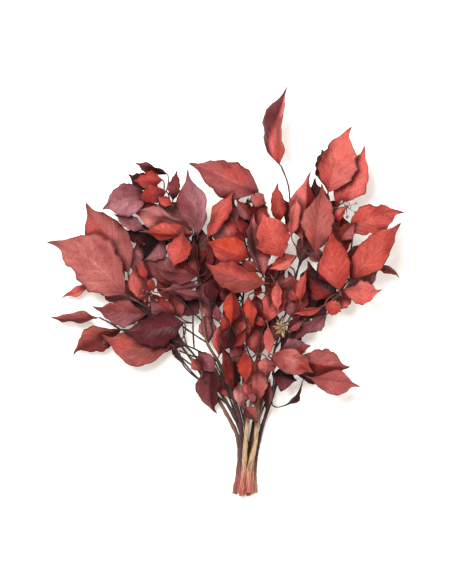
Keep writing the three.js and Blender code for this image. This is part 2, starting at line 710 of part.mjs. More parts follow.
// The first height and joint at which a leaf touches nothing of another stem and no other blade
function placeLeaf(stem, net, leaf, form, phase, obstacles) {
  const base = [leaf[0] * UNIT, leaf[1] * UNIT, leaf[5]];
  const options = joints(net, base, unit([leaf[2] - leaf[0], leaf[3] - leaf[1], 0]));
  for (const scale of GAP_SCALES) {
    for (const { joint, lift } of leafTries(options.length)) {
      const shapes = leafShapes(leaf, lift, form, phase, options[joint]);
      const blade = makePiece(stem, 'blade', shapes.blade);
      if (isClear(blade, obstacles, scale)) {
        const stalk = makePiece(stem, 'stalk', shapes.stalk);
        if (isClear(stalk, obstacles, scale)) {
          const whole = makePiece(stem, 'leaf', shapes.whole);
          return { obstacles: [blade, stalk], whole };
        }
      }
    }
  }
  throw new Error(`no room for a leaf of ${stem}`);
}

// Leaves behind the larger shown ones, turned towards the middle of the bunch
function backLeaves(stem, random) {
  const leaves = [];
  stem.leaves.forEach(([x0, y0, x1, y1, width, height]) => {
    const length = Math.hypot(x1 - x0, y1 - y0);
    if (length < BACKED_LEAF_LENGTH || y1 > BACK_LEAVES_END && stem.name === 'stem_centre') {
      return;
    }
    const inward = Math.sign((y1 - y0) * (MIDDLE_X - x0) - (x1 - x0) * (MIDDLE_Y - y0)) || 1;
    const angle = Math.atan2(y1 - y0, x1 - x0) - inward * drawn(BACK_TURN, random);
    const reach = length * drawn(BACK_REACH, random);
    const level = height - drawn(BACK_DEPTH, random);
    const shown = Math.max(BACK_LEAST_WIDTH, Math.min(reach * FULL_WIDTH, width + BACK_EXTRA_WIDTH));
    const start = [x0 + BACK_START * Math.cos(angle), y0 + BACK_START * Math.sin(angle)];
    const end = [start[0] + reach * Math.cos(angle), start[1] + reach * Math.sin(angle)];
    leaves.push([...start, ...end, shown, level, drawn(BACK_RISE, random), 1, drawn(BACK_BOW, random)]);
  });
  return leaves;
}

// Thin stalks that spread from one point, each with a small knob
function umbelPieces({ stem, centre: [x, y, z], reach, count, lean }, net) {
  const centre = [x * UNIT, y * UNIT, z];
  const [from] = joints(net, centre, [0, 1, 0]);
  const carrier = [[...from.slice(0, 3), PETIOLE_RADIUS], [...centre, PETIOLE_RADIUS]];
  const pieces = [makePiece(stem, 'stalk', rod(carrier, STALK_SIDES))];
  for (let k = 0; k < count; k += 1) {
    const angle = k * GOLDEN_TURN;
    const flat = UMBEL_LEANS[k % UMBEL_LEANS.length];
    const way = [Math.cos(angle) * flat, Math.sin(angle) * flat, lean * (UMBEL_RISE - flat)];
    const end = add(centre, way, reach);
    const knob = add(end, unit(way), KNOB_LENGTH);
    const run = [[...centre, STALK_RADIUS], [...end, STALK_RADIUS], [...knob, STALK_RADIUS * KNOB_TAPER]];
    pieces.push(makePiece(stem, 'stalk', rod(run, STALK_SIDES)));
  }
  return pieces;
}

// A stem's cane and twigs, and the points of them that may carry leaves
function woodOf(stem) {
  const cane = toMillimetres(stem.cane);
  const twigs = stem.twigs.map(toMillimetres);
  const pieces = [makePiece(stem.name, 'wood', rod(cane, CANE_SIDES))];
  twigs.forEach((twig) => pieces.push(makePiece(stem.name, 'wood', rod(twig, TWIG_SIDES))));
  const net = [];
  [cane.filter((point) => point[1] > BARE_LENGTH), ...twigs].forEach((run) => {
    run.forEach((point, i) => {
      net.push(point.slice(0, 3));
      if (i > 0) {
        net.push([0, 1, 2].map((axis) => (point[axis] + run[i - 1][axis]) / 2));
      }
    });
  });
  return { pieces, net };
}

function meshOf(stem, body) {
  const data = body.getMesh();
  const geometry = new THREE.BufferGeometry();
  geometry.setAttribute('position', new THREE.BufferAttribute(new Float32Array(data.vertProperties), 3));
  geometry.setIndex(new THREE.BufferAttribute(new Uint32Array(data.triVerts), 1));
  const material = new THREE.MeshStandardMaterial({
    color: COLOURS[stem.colour],
    roughness: ROUGHNESS,
    metalness: 0,
  });
  const mesh = new THREE.Mesh(toCreasedNormals(geometry, CREASE), material);
  mesh.name = stem.name;
  return mesh;
}

// Fuses a stem's pieces. Only the outer skin is kept, so that no hollow stays inside.
function fused(pieces) {
  const whole = wasm.Manifold.union(pieces.map((piece) => piece.body));
  const shells = whole.simplify(SMALLEST_DETAIL).decompose();
  shells.sort((a, b) => b.volume() - a.volume());
  return shells[0];
}

// The form of a leaf that shows: large leaves have more stations
function shownForm([baseX, baseY, tipX, tipY]) {
  return Math.hypot(tipX - baseX, tipY - baseY) > FINE_LEAF_LENGTH ? FINE : PLAIN;
}

function makeBunch() {
  const obstacles = [];
  const parts = {};
  const nets = {};
  STEMS.forEach((stem) => {
    const { pieces, net } = woodOf(stem);
    parts[stem.name] = pieces;
    nets[stem.name] = net;
    obstacles.push(...pieces);
  });
  UMBELS.forEach((umbel) => {
    const pieces = umbelPieces(umbel, nets[umbel.stem]);
    parts[umbel.stem].push(...pieces);
    obstacles.push(...pieces);
  });
  let phase = 0;
  const place = (name, leaf, form) => {
    phase += PHASE_STEP;
    const found = placeLeaf(name, nets[name], leaf, form, phase, obstacles);
    obstacles.push(...found.obstacles);
    parts[name].push(found.whole);
  };
  const random = randomFrom(SEED);
  STEMS.forEach((stem) => stem.leaves.forEach((leaf) => place(stem.name, leaf, shownForm(leaf))));
  RESTING.forEach(({ stem, leaf }) => place(stem, leaf, COARSE));
  STEMS.forEach((stem) => stem.inner.forEach((leaf) => place(stem.name, leaf, COARSE)));
  STEMS.forEach((stem) => backLeaves(stem, random).forEach((leaf) => place(stem.name, leaf, COARSE)));
  const group = new THREE.Group();
  STEMS.forEach((stem) => group.add(meshOf(stem, fused(parts[stem.name]))));
  return group;
}

// Puts the middle of the bunch's box over the origin, on the ground
function centred(group) {
  const box = new THREE.Box3().setFromObject(group);
  const middle = box.getCenter(new THREE.Vector3());
  group.children.forEach((mesh) => mesh.geometry.translate(-middle.x, -middle.y, -box.min.z));
  return group;
}

export default centred(makeBunch());
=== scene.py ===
# A bunch of preserved ivy branches lying on a pale table, seen from above.
# X runs across the bunch, Y from the cut ends to the leaf tips, and Z is up.
import json
import math

import bmesh
import bpy
import numpy as np
from mathutils.kdtree import KDTree
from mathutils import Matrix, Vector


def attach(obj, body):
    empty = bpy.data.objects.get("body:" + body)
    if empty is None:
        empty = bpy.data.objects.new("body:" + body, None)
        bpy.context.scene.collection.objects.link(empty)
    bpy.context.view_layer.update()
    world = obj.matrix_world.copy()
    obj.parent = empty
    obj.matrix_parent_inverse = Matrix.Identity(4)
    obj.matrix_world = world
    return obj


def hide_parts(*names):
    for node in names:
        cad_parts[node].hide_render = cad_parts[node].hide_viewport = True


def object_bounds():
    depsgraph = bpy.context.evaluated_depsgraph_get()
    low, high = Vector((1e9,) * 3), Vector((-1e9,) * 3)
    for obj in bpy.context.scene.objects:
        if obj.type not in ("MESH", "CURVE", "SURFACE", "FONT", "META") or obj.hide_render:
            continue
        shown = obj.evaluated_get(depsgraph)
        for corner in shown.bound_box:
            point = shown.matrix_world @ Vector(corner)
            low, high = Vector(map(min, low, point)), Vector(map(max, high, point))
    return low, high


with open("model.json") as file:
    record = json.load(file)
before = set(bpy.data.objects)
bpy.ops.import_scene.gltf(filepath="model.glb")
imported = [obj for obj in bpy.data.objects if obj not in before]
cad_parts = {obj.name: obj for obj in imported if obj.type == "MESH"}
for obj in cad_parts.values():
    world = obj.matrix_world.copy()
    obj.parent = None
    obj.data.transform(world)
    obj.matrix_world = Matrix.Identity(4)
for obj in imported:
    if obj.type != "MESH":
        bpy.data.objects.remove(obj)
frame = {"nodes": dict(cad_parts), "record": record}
cad_low, cad_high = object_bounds()

# Driving sizes in millimetres
MM = 0.001
BUNCH_LENGTH = 450
BLADE_THICKNESS = 0.75
SHOWN_THICKNESS = 0.5
PRESS_MARGIN = 0.05
PETIOLE_RADIUS = 0.9
SHOWN_PETIOLE = [0.9, 0.78, 0.72, 0.8]

# The bunch is laid out on a grid of units, with the middle of the cut ends at zero
LAYOUT_LENGTH = 411
UNIT = BUNCH_LENGTH / LAYOUT_LENGTH
BARE_LENGTH = 75 * UNIT
MIDDLE_X = -10
MIDDLE_Y = 225
FINE_LEAF_LENGTH = 44
BACKED_LEAF_LENGTH = 60
BACK_LEAVES_END = 350

# A blade's form is a list of places along its rib, and the share of its half width there
FINE = {
    "name": "fine",
    "places": [0, 0.12, 0.33, 0.57, 0.8, 1],
    "widths": [0.1, 0.64, 1, 0.92, 0.46, 0],
}
PLAIN = {"name": "plain", "places": [0, 0.16, 0.42, 0.7, 1], "widths": [0.12, 0.74, 1, 0.64, 0]}
COARSE = {"name": "coarse", "places": [0, 0.27, 0.68, 1], "widths": [0.12, 0.95, 0.8, 0]}
FULL_WIDTH = 0.47
WIDTH_RESERVE = 1.06
FOLD = 0.3
ARCH = 0.05
DROOP = 0.07
WAVE = 0.11
TWIST = 0.5
TWIST_PACE = 1.3
DROOP_PACE = 0.9
LOBE = 0.09
LEFT = {"way": 1, "lobe_pace": 1.1, "lobe_turns": 7, "ripple": 10, "offset": 0}
RIGHT = {"way": -1, "lobe_pace": 2.3, "lobe_turns": 6, "ripple": 11, "offset": 2}
FLATTEST = 0.1
PHASE_STEP = 1.7

# A leaf stalk's bend, and how its place on the wood is weighed
STALK_BEND_PLACE = 0.62
STALK_BEND = 0.15
AHEAD_COST = 0.8
ABOVE_COST = 0.5
JOINT_SPACING = 7
JOINT_COUNT = 4
LIFT_STEP = 3
LIFT_COUNT = 11

# Leaves behind the shown ones are turned inward, shorter and lower, by amounts drawn from these
BACK_TURN = (0.1, 0.35)
BACK_REACH = (0.5, 0.25)
BACK_DEPTH = (14, 14)
BACK_RISE = (-4, -12)
BACK_BOW = (0, 2)
BACK_START = 3
BACK_LEAST_WIDTH = 10
BACK_EXTRA_WIDTH = 8
SEED = 20

# The stalks of an umbel lean out by one of three amounts in turn
UMBEL_LEANS = [0.35, 0.675, 1]
UMBEL_RISE = 1.4
GOLDEN_TURN = 2.4
# Places along a flower stalk, as shares of its reach, and its radius there
UMBEL_STALK = [(0, 0.6), (0.5, 0.5), (0.86, 0.5), (0.97, 1.5), (1.1, 1.3), (1.16, 0.4)]
DRY_STRAND = [(0, 0.5), (0.3, 0.5), (0.7, 0.95), (1, 0.7), (1.3, 0.2)]

# How bright a white surface that faces the lamp is
FULL_LIGHT = 2.05

# The tones of the dye: the colour in sRGB from 0 to 255 as it shows in full light, the tone that
# flushes it in patches, and the tone of the blade's other face
TONES = {
    "bright": ((248, 108, 97), "salmon", "red"),
    "salmon": ((252, 131, 120), "bright", "coral"),
    "coral": ((214, 90, 78), "bright", "deep"),
    "orange": ((226, 78, 55), "red", "deep"),
    "brick": ((194, 68, 57), "coral", "deep"),
    "red": ((172, 57, 50), "brick", "burgundy"),
    "deep": ((140, 38, 36), "red", "burgundy"),
    "rose": ((192, 98, 95), "coral", "mauve"),
    "rosewood": ((168, 82, 82), "rose", "plum"),
    "rosebrown": ((182, 95, 88), "coral", "mauve"),
    "brownred": ((130, 52, 47), "red", "burgundy"),
    "mauve": ((146, 72, 76), "palemauve", "burgundy"),
    "palemauve": ((178, 112, 118), "mauve", "plum"),
    "plum": ((106, 42, 49), "mauve", "burgundy"),
    "burgundy": ((86, 20, 24), "plum", "deep"),
    "maroon": ((46, 12, 15), "burgundy", "deep"),
    "soot": ((40, 14, 18), "soot", "soot"),
    "blush": ((250, 160, 155), "blush", "blush"),
    "faded": ((214, 119, 111), "rose", "mauve"),
    "haze": ((200, 130, 138), "palemauve", "plum"),
    "russet": ((168, 74, 66), "rosebrown", "burgundy"),
}
# What a leaf's colour is multiplied by in its dull shades and painted shade at its base, in patches of
# painted deep shade where inner and back leaves are covered, and along its rim
DULLED = (0.5, 0.36, 0.36)
PAINTED_DEEP_SHADE = (0.2, 0.14, 0.17)
RIMMED = (0.42, 0.4, 0.42)
# Colours of bark in sRGB, as they show in full light
BARKS = {
    "tan": (240, 184, 136),
    "straw": (240, 200, 150),
    "umber": (156, 112, 80),
    "olive": (150, 112, 78),
    "wine": (104, 44, 48),
    "dusk": (40, 22, 26),
    "stained": (226, 104, 90),
    "grey": (214, 196, 190),
    "rosy": (206, 126, 112),
}

# The bark of a stem at its cut end, at the neck of the bunch, above the neck and on its twigs
STEM_BARKS = {
    "stem_outer_left": ["stained", "umber", "umber", "umber"],
    "stem_low_left": ["stained", "umber", "olive", "umber"],
    "stem_left": ["stained", "wine", "olive", "dusk"],
    "stem_centre_left": ["tan", "olive", "dusk", "dusk"],
    "stem_centre": ["stained", "straw", "wine", "dusk"],
    "stem_centre_right": ["stained", "tan", "wine", "wine"],
    "stem_right": ["tan", "wine", "dusk", "wine"],
    "stem_low_right": ["tan", "wine", "dusk", "wine"],
    "stem_front": ["stained", "straw", "wine", "wine"],
}
# A leaf stalk takes its colour partly from the leaf and partly from young bark
STALK_DYE = 0.5
STALK_BARK = 0.05
# Above the neck the canes are this share of the frame's thickness
SLIMMED = 0.66
THINNEST_TWIG = 0.9
# How far the stain of a cut end reaches, and how unevenly it ends across and along
STAIN_END = 34
STAIN_EDGE = 0.35
STAIN_WAVES = (2.1, 0.35)
NECK_START = 90
NECK_END = 165

# A cane or twig is a list of points: across and along in layout units, height and radius in mm.
# A leaf is base across and along, tip across and along, shown width, height, rise, turn and bow,
# and the tone of its face, or the tones of its left and right halves. Two halves' tones are partly the
# leaf's own colours and partly painted light and shade, a half made lighter or darker as the light falls
# on it.
STEMS = {}
STEMS["stem_outer_left"] = {
    "cane": [
        [-10.5, 2, 2.8, 2.8], [-6, 28, 2.9, 2.8], [-7, 58, 7, 2.4], [-19, 84, 14, 2.2],
        [-42, 120, 22, 1.9], [-65, 153, 31, 1.7], [-95, 188, 42, 1.5], [-117, 202, 50, 1.3],
    ],
    "twigs": [
        [[-95, 188, 42, 1.3], [-107, 204, 46, 1.2], [-117, 220, 48, 1.1]],
        [[-117, 202, 50, 1.2], [-134, 208, 38, 1.1], [-148, 212, 30, 1]],
        [[-65, 153, 31, 1.3], [-84, 166, 33, 1.1], [-96, 180, 40, 1]],
    ],
    "leaves": [
        [-121, 204, -196, 260, 50, 64, 2, 1, -7, "faded faded"],
        [-117, 226, -164, 296, 38, 52, -12, 1, -3, "rosebrown faded"],
        [-99, 184, -153, 190, 24, 46, -8, -1, 2, "mauve rosewood"],
        [-155, 213, -187, 201, 10, 28, -8, 1, 2, "salmon"],
    ],
    "inner": [
        [-98, 196, -112, 234, 22, 44, -6, 1, 1, "salmon rose"],
        [-90, 178, -114, 198, 20, 34, -2, 1, 1, "burgundy"],
    ],
}
STEMS["stem_low_left"] = {
    "cane": [
        [-3.5, 0, 2.8, 2.8], [-0.8, 28, 2.9, 2.8], [-2, 58, 4, 2.4], [-17, 92, 8, 2.1],
        [-38, 123, 14, 1.8], [-58, 150, 18, 1.6], [-90, 166, 19, 1.4], [-125, 168, 20, 1.2],
    ],
    "twigs": [
        [[-125, 168, 20, 1.1], [-138, 176, 26, 1], [-146, 180, 31, 0.9]],
        [[-38, 123, 14, 1.4], [-56, 134, 22, 1.2], [-72, 147, 31, 1]],
        [[-17, 92, 8, 1.2], [-40, 112, 10, 1], [-56, 128, 13, 0.9], [-69, 146, 18, 0.8]],
        [[-2, 58, 4, 1.3], [-10, 86, 10, 1.1], [-24, 116, 15, 0.9]],
    ],
    "leaves": [
        [-148, 180, -196, 181, 11, 34, -4, 1, 3, "brownred rosebrown"],
        [-125, 168, -176, 144, 22, 30, -8, -1, -4, "brownred rosebrown"],
        [-74, 153, -145, 161, 36, 42, -8, 1, 8, "rosebrown"],
        [-62, 175, -124, 166, 34, 60, -6, -1, 2, "burgundy plum"],
        [-73, 152, -64, 133, 6, 32, -8, 1, 1, "plum burgundy"],
    ],
    "inner": [
        [-10, 96, -24, 136, 18, 36, 4, 1, 1, "salmon"],
        [-60, 152, -108, 176, 26, 30, -4, 1, 2, "blush"],
    ],
}
STEMS["stem_left"] = {
    "cane": [
        [-6.5, 4, 8, 2.8], [-3.4, 28, 8.2, 2.8], [-5, 76, 19, 2.6], [-15, 109, 29, 2.6],
        [-28, 138, 38, 2.5], [-38, 155, 44, 2.2], [-42, 176, 48, 1.8], [-47, 218, 54, 1.6],
        [-49, 258, 58, 1.4], [-55, 290, 60, 1.2],
    ],
    "twigs": [
        [[-49, 250, 57, 1.3], [-66, 270, 62, 1.2], [-80, 290, 67, 1.1], [-92, 302, 69, 1]],
        [[-48, 222, 55, 1.3], [-60, 240, 62, 1.2], [-73, 256, 60, 1]],
        [[-38, 155, 44, 1.1], [-52, 164, 44, 0.9], [-62, 171, 40, 0.8]],
        [[-42, 176, 48, 1.1], [-60, 193, 56, 0.9], [-78, 208, 60, 0.8]],
        [[-29, 138, 38, 1.1], [-51, 149, 42, 0.9], [-70, 157, 47, 0.8]],
        [[-51, 149, 42, 0.9], [-52, 166, 50, 0.8], [-52, 184, 56, 0.8]],
        [[-16, 109, 29, 1.1], [-46, 118, 36, 0.9], [-62, 133, 40, 0.8], [-66, 145, 44, 0.8]],
        [[-4.6, 64, 16.3, 1.2], [-13, 92, 26, 1], [-22, 118, 33, 0.9], [-33, 141, 40, 0.8]],
        [[-28, 137, 37, 1], [-42, 141, 36, 0.8], [-50, 141, 34, 0.8], [-66, 147, 34, 0.7]],
        [[-38, 155, 44, 0.9], [-33, 164, 46, 0.8], [-35, 176, 49, 0.7]],
    ],
    "leaves": [
        [-98, 303, -144, 289, 32, 72, -6, 1, -2, "haze palemauve"],
        [-83, 318, -112, 318, 18, 78, 2, 1, 1, "red brick"],
        [-78, 324, -111, 334, 9, 70, 4, -1, -2, "plum mauve"],
        [-79, 306, -108, 297, 18, 88, -8, -1, -2, "deep red"],
        [-73, 293, -87, 302, 10, 96, 0, 1, 1, "brick red"],
        [-72, 298, -68, 328, 13, 80, 6, 1, 1, "mauve brownred"],
        [-47, 264, -60, 329, 24, 84, 4, -1, -3, "mauve haze"],
        [-62, 264, -73, 230, 24, 102, -10, 1, 2, "brick coral"],
        [-53, 264, -107, 267, 15, 94, -6, 1, 2, "deep coral"],
        [-80, 263, -103, 236, 24, 56, -10, -1, 1, "mauve soot"],
        [-53, 268, -118, 289, 22, 80, -4, -1, -2, "faded blush"],
        [-102, 269, -131, 285, 14, 62, 0, 1, 1, "palemauve"],
        [-48, 222, -92, 229, 14, 76, -4, -1, 2, "mauve rosewood"],
        [-45, 201, -73, 208, 12, 78, -4, 1, 1, "plum mauve"],
        [-33, 134, -31, 82, 24, 36, -16, 1, -4, "burgundy mauve"],
        [-46, 213, -82, 208, 13, 66, -4, 1, 1, "mauve haze"],
        [-70, 178, -98, 208, 20, 66, -8, 1, 2, "mauve brownred"],
        [-64, 180, -74, 209, 16, 58, -6, -1, 1, "brownred rose"],
        [-92, 207, -94, 221, 9, 64, 2, 1, 1, "brick red"],
        [-99, 219, -103, 237, 9, 60, 2, -1, 1, "brick"],
        [-46, 224, -50, 262, 11, 70, 4, -1, 2, "rosewood plum"],
        [-39, 226, -37, 263, 9, 66, 4, 1, -2, "coral salmon"],
        [-30, 196, -36, 220, 14, 64, 2, -1, 1, "burgundy"],
        [-44, 127, -54, 141, 10, 50, 2, 1, 1, "rosebrown brownred"],
    ],
    "inner": [
        [-96, 212, -108, 262, 26, 46, -6, -1, 1, "blush mauve"],
        [-42, 215, -36, 268, 22, 46, 4, 1, -2, "mauve red"],
        [-34, 176, -40, 236, 26, 58, -4, 1, 1, "blush plum"],
        [-58, 214, -102, 238, 26, 54, -6, -1, -2, "faded blush"],
        [-88, 312, -118, 323, 18, 66, -4, 1, 1, "plum burgundy"],
        [-80, 280, -112, 296, 20, 58, -4, -1, 1, "salmon"],
        [-46, 232, -44, 274, 20, 52, 4, 1, 1, "plum russet"],
        [-88, 258, -122, 266, 20, 60, -4, 1, -1, "burgundy soot"],
        [-26, 142, -21, 178, 16, 40, 4, 1, 1, "salmon plum"],
        [-46, 198, -66, 182, 16, 50, -2, 1, 1, "plum burgundy"],
        [-58, 196, -92, 224, 24, 50, -4, 1, 1, "salmon brownred"],
        [-47, 222, -72, 240, 20, 50, -2, 1, 1, "brick coral"],
        [-36, 156, -38, 188, 16, 38, 2, 1, 1, "blush"],
        [-30, 126, -48, 148, 16, 34, 2, 1, 1, "mauve"],
    ],
}
STEMS["stem_centre_left"] = {
    "cane": [
        [0, 1, 8, 2.8], [1.8, 28, 8.2, 2.8], [1, 70, 15, 2.3], [-2, 138, 28, 2], [-2, 198, 37, 1.7],
        [5, 241, 42, 1.5], [15, 285, 46, 1.3],
    ],
    "twigs": [
        [[-2, 198, 37, 1.3], [-16, 226, 54, 1.2], [-31, 250, 68, 1]],
        [[5, 241, 42, 1.3], [-1, 262, 56, 1.1], [4, 296, 66, 1]],
        [[1, 70, 15, 1.3], [-6, 96, 22, 1.1], [-14, 124, 29, 0.9]],
    ],
    "leaves": [
        [13, 306, -56, 336, 36, 80, 0, 1, 0, "rosewood rose"],
        [20, 295, 5, 303, 15, 90, 2, -1, 1, "rose"],
        [-37, 262, -11, 306, 20, 92, 4, 1, 2, "bright coral"],
        [4, 241, -39, 258, 28, 102, -6, 1, 2, "brick orange"],
        [19, 215, -42, 233, 30, 112, -10, -1, 2, "russet coral"],
        [-13, 206, -14, 173, 19, 104, -12, 1, 1, "deep orange"],
        [-8, 297, -5, 313, 9, 84, 2, 1, 1, "coral"],
        [8, 278, -9, 299, 13, 78, 2, -1, 1, "mauve brownred"],
        [4, 261, -7, 284, 11, 72, 2, 1, 1, "red deep"],
        [14, 226, -6, 241, 9, 96, 0, -1, 1, "coral bright"],
        [-26, 176, -29, 194, 10, 70, 2, 1, 1, "mauve"],
    ],
    "inner": [
        [-4, 240, -28, 292, 26, 58, 2, 1, 1, "blush bright"],
        [-4, 150, -14, 206, 28, 64, 4, -1, 1, "brick salmon"],
        [-8, 106, -22, 152, 20, 44, 4, 1, 1, "coral brownred"],
        [10, 256, 1, 300, 22, 58, 4, 1, 1, "plum brownred"],
        [-8, 192, -22, 224, 18, 62, 0, 1, 1, "red brick"],
        [-2, 132, -12, 164, 16, 52, 4, -1, 1, "blush coral"],
        [12, 260, 16, 304, 20, 60, 2, 1, 1, "red bright"],
        [-14, 258, -12, 300, 20, 62, 2, 1, 1, "salmon blush"],
        [-14, 196, -32, 222, 18, 46, 0, 1, 1, "red"],
    ],
}
STEMS["stem_centre"] = {
    "cane": [
        [3.5, 3, 13.3, 2.8], [4.4, 28, 13.5, 2.8], [11, 56, 19, 2.5], [12, 74, 24, 2.4],
        [13, 109, 34, 2.2], [17, 158, 45, 1.9], [31, 218, 56, 1.6], [39, 245, 60, 1.4],
        [45, 293, 66, 1.2], [43, 314, 70, 1.1], [36, 332, 75, 1],
    ],
    "twigs": [
        [[31, 218, 56, 1.2], [44, 232, 70, 1.1], [50, 240, 82, 0.9]],
    ],
    "leaves": [
        [34, 334, 45, 411, 24, 79, 8, -1, 9, "plum bright folded"],
        [36, 241, 17, 286, 34, 100, 10, 1, 1, "coral"],
        [34, 276, 31, 315, 17, 88, 4, 1, 1, "coral brick"],
        [50, 242, 23, 229, 15, 94, -4, 1, 1, "salmon brick"],
        [48, 221, 25, 211, 10, 90, -2, -1, 1, "rosewood salmon"],
    ],
    "inner": [
        [18, 222, 6, 284, 24, 66, 0, 1, 2, "mauve faded"],
        [15, 170, 10, 206, 18, 62, 4, -1, 1, "coral red"],
        [14, 140, 9, 182, 18, 56, 4, 1, 1, "salmon"],
        [24, 210, 38, 238, 20, 50, 0, 1, 1, "salmon bright"],
    ],
}
STEMS["stem_centre_right"] = {
    "cane": [
        [7, 2, 8, 2.8], [7, 28, 8.2, 2.8], [11, 62, 13, 2.4], [19, 104, 22, 2.1], [30, 148, 32, 1.8],
        [45, 198, 42, 1.6], [55, 233, 47, 1.5], [73, 260, 51, 1.3], [90, 288, 56, 1.1],
    ],
    "twigs": [
        [[45, 198, 42, 1.3], [52, 224, 60, 1.2], [57, 250, 74, 1]],
        [[73, 260, 51, 1.2], [80, 280, 68, 1.1], [83, 298, 80, 1]],
        [[30, 148, 32, 1.1], [36, 160, 48, 1], [33, 172, 56, 0.9], [38, 182, 60, 0.8]],
        [[33, 172, 56, 0.9], [42, 176, 60, 0.8], [46, 182, 58, 0.7]],
    ],
    "leaves": [
        [83, 306, 103, 372, 38, 92, 4, 1, 1, "bright salmon"],
        [92, 292, 122, 351, 30, 74, 2, -1, -1, "bright"],
        [70, 246, 78, 314, 29, 104, 4, 1, 1, "rosebrown"],
        [57, 258, 62, 327, 26, 90, 2, -1, -1, "salmon deep"],
        [46, 263, 52, 301, 14, 96, 4, 1, 1, "salmon"],
        [55, 196, 62, 227, 10, 82, 2, -1, 1, "bright coral"],
        [52, 196, 46, 209, 8, 74, 0, 1, 1, "red coral"],
    ],
    "inner": [
        [52, 176, 46, 228, 26, 60, 4, -1, 1, "blush bright"],
        [26, 152, 28, 194, 20, 48, 4, 1, 1, "burgundy blush"],
        [80, 270, 68, 320, 24, 64, 4, 1, 1, "mauve plum"],
        [56, 236, 64, 268, 18, 42, 0, 1, 1, "blush"],
    ],
}
STEMS["stem_right"] = {
    "cane": [
        [3.6, 0, 2.8, 2.8], [4.4, 28, 2.9, 2.8], [7, 60, 5, 2.4], [16, 100, 12, 2.1], [31, 138, 21, 1.9],
        [55, 173, 31, 1.7], [80, 193, 38, 1.5], [102, 218, 43, 1.3], [107, 252, 46, 1.1],
    ],
    "twigs": [
        [[80, 193, 38, 1.3], [90, 200, 62, 1.2], [95, 206, 84, 1]],
        [[107, 252, 46, 1], [108, 264, 62, 0.9], [108, 268, 72, 0.9]],
        [[102, 218, 43, 1.1], [120, 226, 50, 1], [130, 229, 57, 0.9]],
        [[7, 60, 5, 1.3], [20, 92, 8, 1.1], [34, 124, 13, 0.9]],
    ],
    "leaves": [
        [103, 267, 158, 288, 30, 80, -4, 1, 3, "coral"],
        [105, 219, 155, 276, 33, 90, 0, -1, -2, "coral"],
        [98, 208, 137, 206, 23, 104, -14, 1, -1, "bright"],
        [93, 208, 85, 268, 32, 114, -4, 1, 2, "coral brick"],
        [95, 258, 111, 276, 16, 84, 2, 1, 1, "brownred rosewood"],
        [88, 275, 102, 291, 10, 92, 2, -1, 1, "bright orange"],
        [91, 201, 61, 223, 28, 80, -8, 1, 1, "brownred burgundy"],
        [132, 231, 155, 221, 8, 62, -4, 1, 3, "russet"],
        [80, 193, 96, 186, 16, 98, -6, 1, 1, "coral brick"],
        [77, 192, 47, 185, 8, 98, -4, -1, 1, "bright orange"],
        [81, 183, 60, 163, 14, 84, -8, 1, 1, "palemauve mauve"],
    ],
    "inner": [
        [64, 184, 66, 238, 26, 58, -4, 1, -1, "brownred maroon"],
        [96, 238, 96, 288, 24, 62, -4, 1, 1, "salmon orange"],
        [62, 178, 90, 214, 22, 46, -4, -1, 1, "plum"],
        [36, 146, 58, 172, 20, 44, -2, 1, 1, "mauve"],
        [50, 158, 64, 186, 20, 42, -2, 1, 1, "palemauve blush"],
        [76, 236, 66, 252, 14, 50, 2, 1, 1, "blush"],
        [86, 192, 110, 206, 18, 50, -4, 1, 1, "salmon"],
    ],
}
STEMS["stem_low_right"] = {
    "cane": [
        [10.5, 3, 2.8, 2.8], [9.6, 28, 2.9, 2.8], [15, 60, 7, 2.3], [27, 98, 17, 2], [38, 124, 28, 1.6],
        [54, 132, 38, 1.3],
    ],
    "twigs": [
        [[27, 98, 17, 1.3], [29, 116, 40, 1.2], [28, 138, 66, 1]],
        [[38, 124, 28, 1.2], [44, 146, 42, 1.1], [44, 164, 54, 0.9]],
    ],
    "leaves": [
        # This leaf's top face carries a painted highlight
        [27, 144, 68, 125, 28, 96, -16, 1, 3, "coral red glossy"],
        [52, 137, 106, 128, 29, 56, -8, -1, 1, "faded deep"],
        [66, 120, 116, 113, 22, 72, -14, 1, -1, "rose"],
        [36, 91, 57, 118, 5, 50, 6, 1, -5, "plum burgundy"],
        [28, 122, 52, 116, 24, 54, -6, -1, 1, "soot plum"],
        [43, 168, 59, 178, 12, 62, 0, 1, 1, "plum rose"],
    ],
    "inner": [
        [34, 146, 67, 151, 20, 60, -6, 1, 2, "haze brick"],
    ],
}
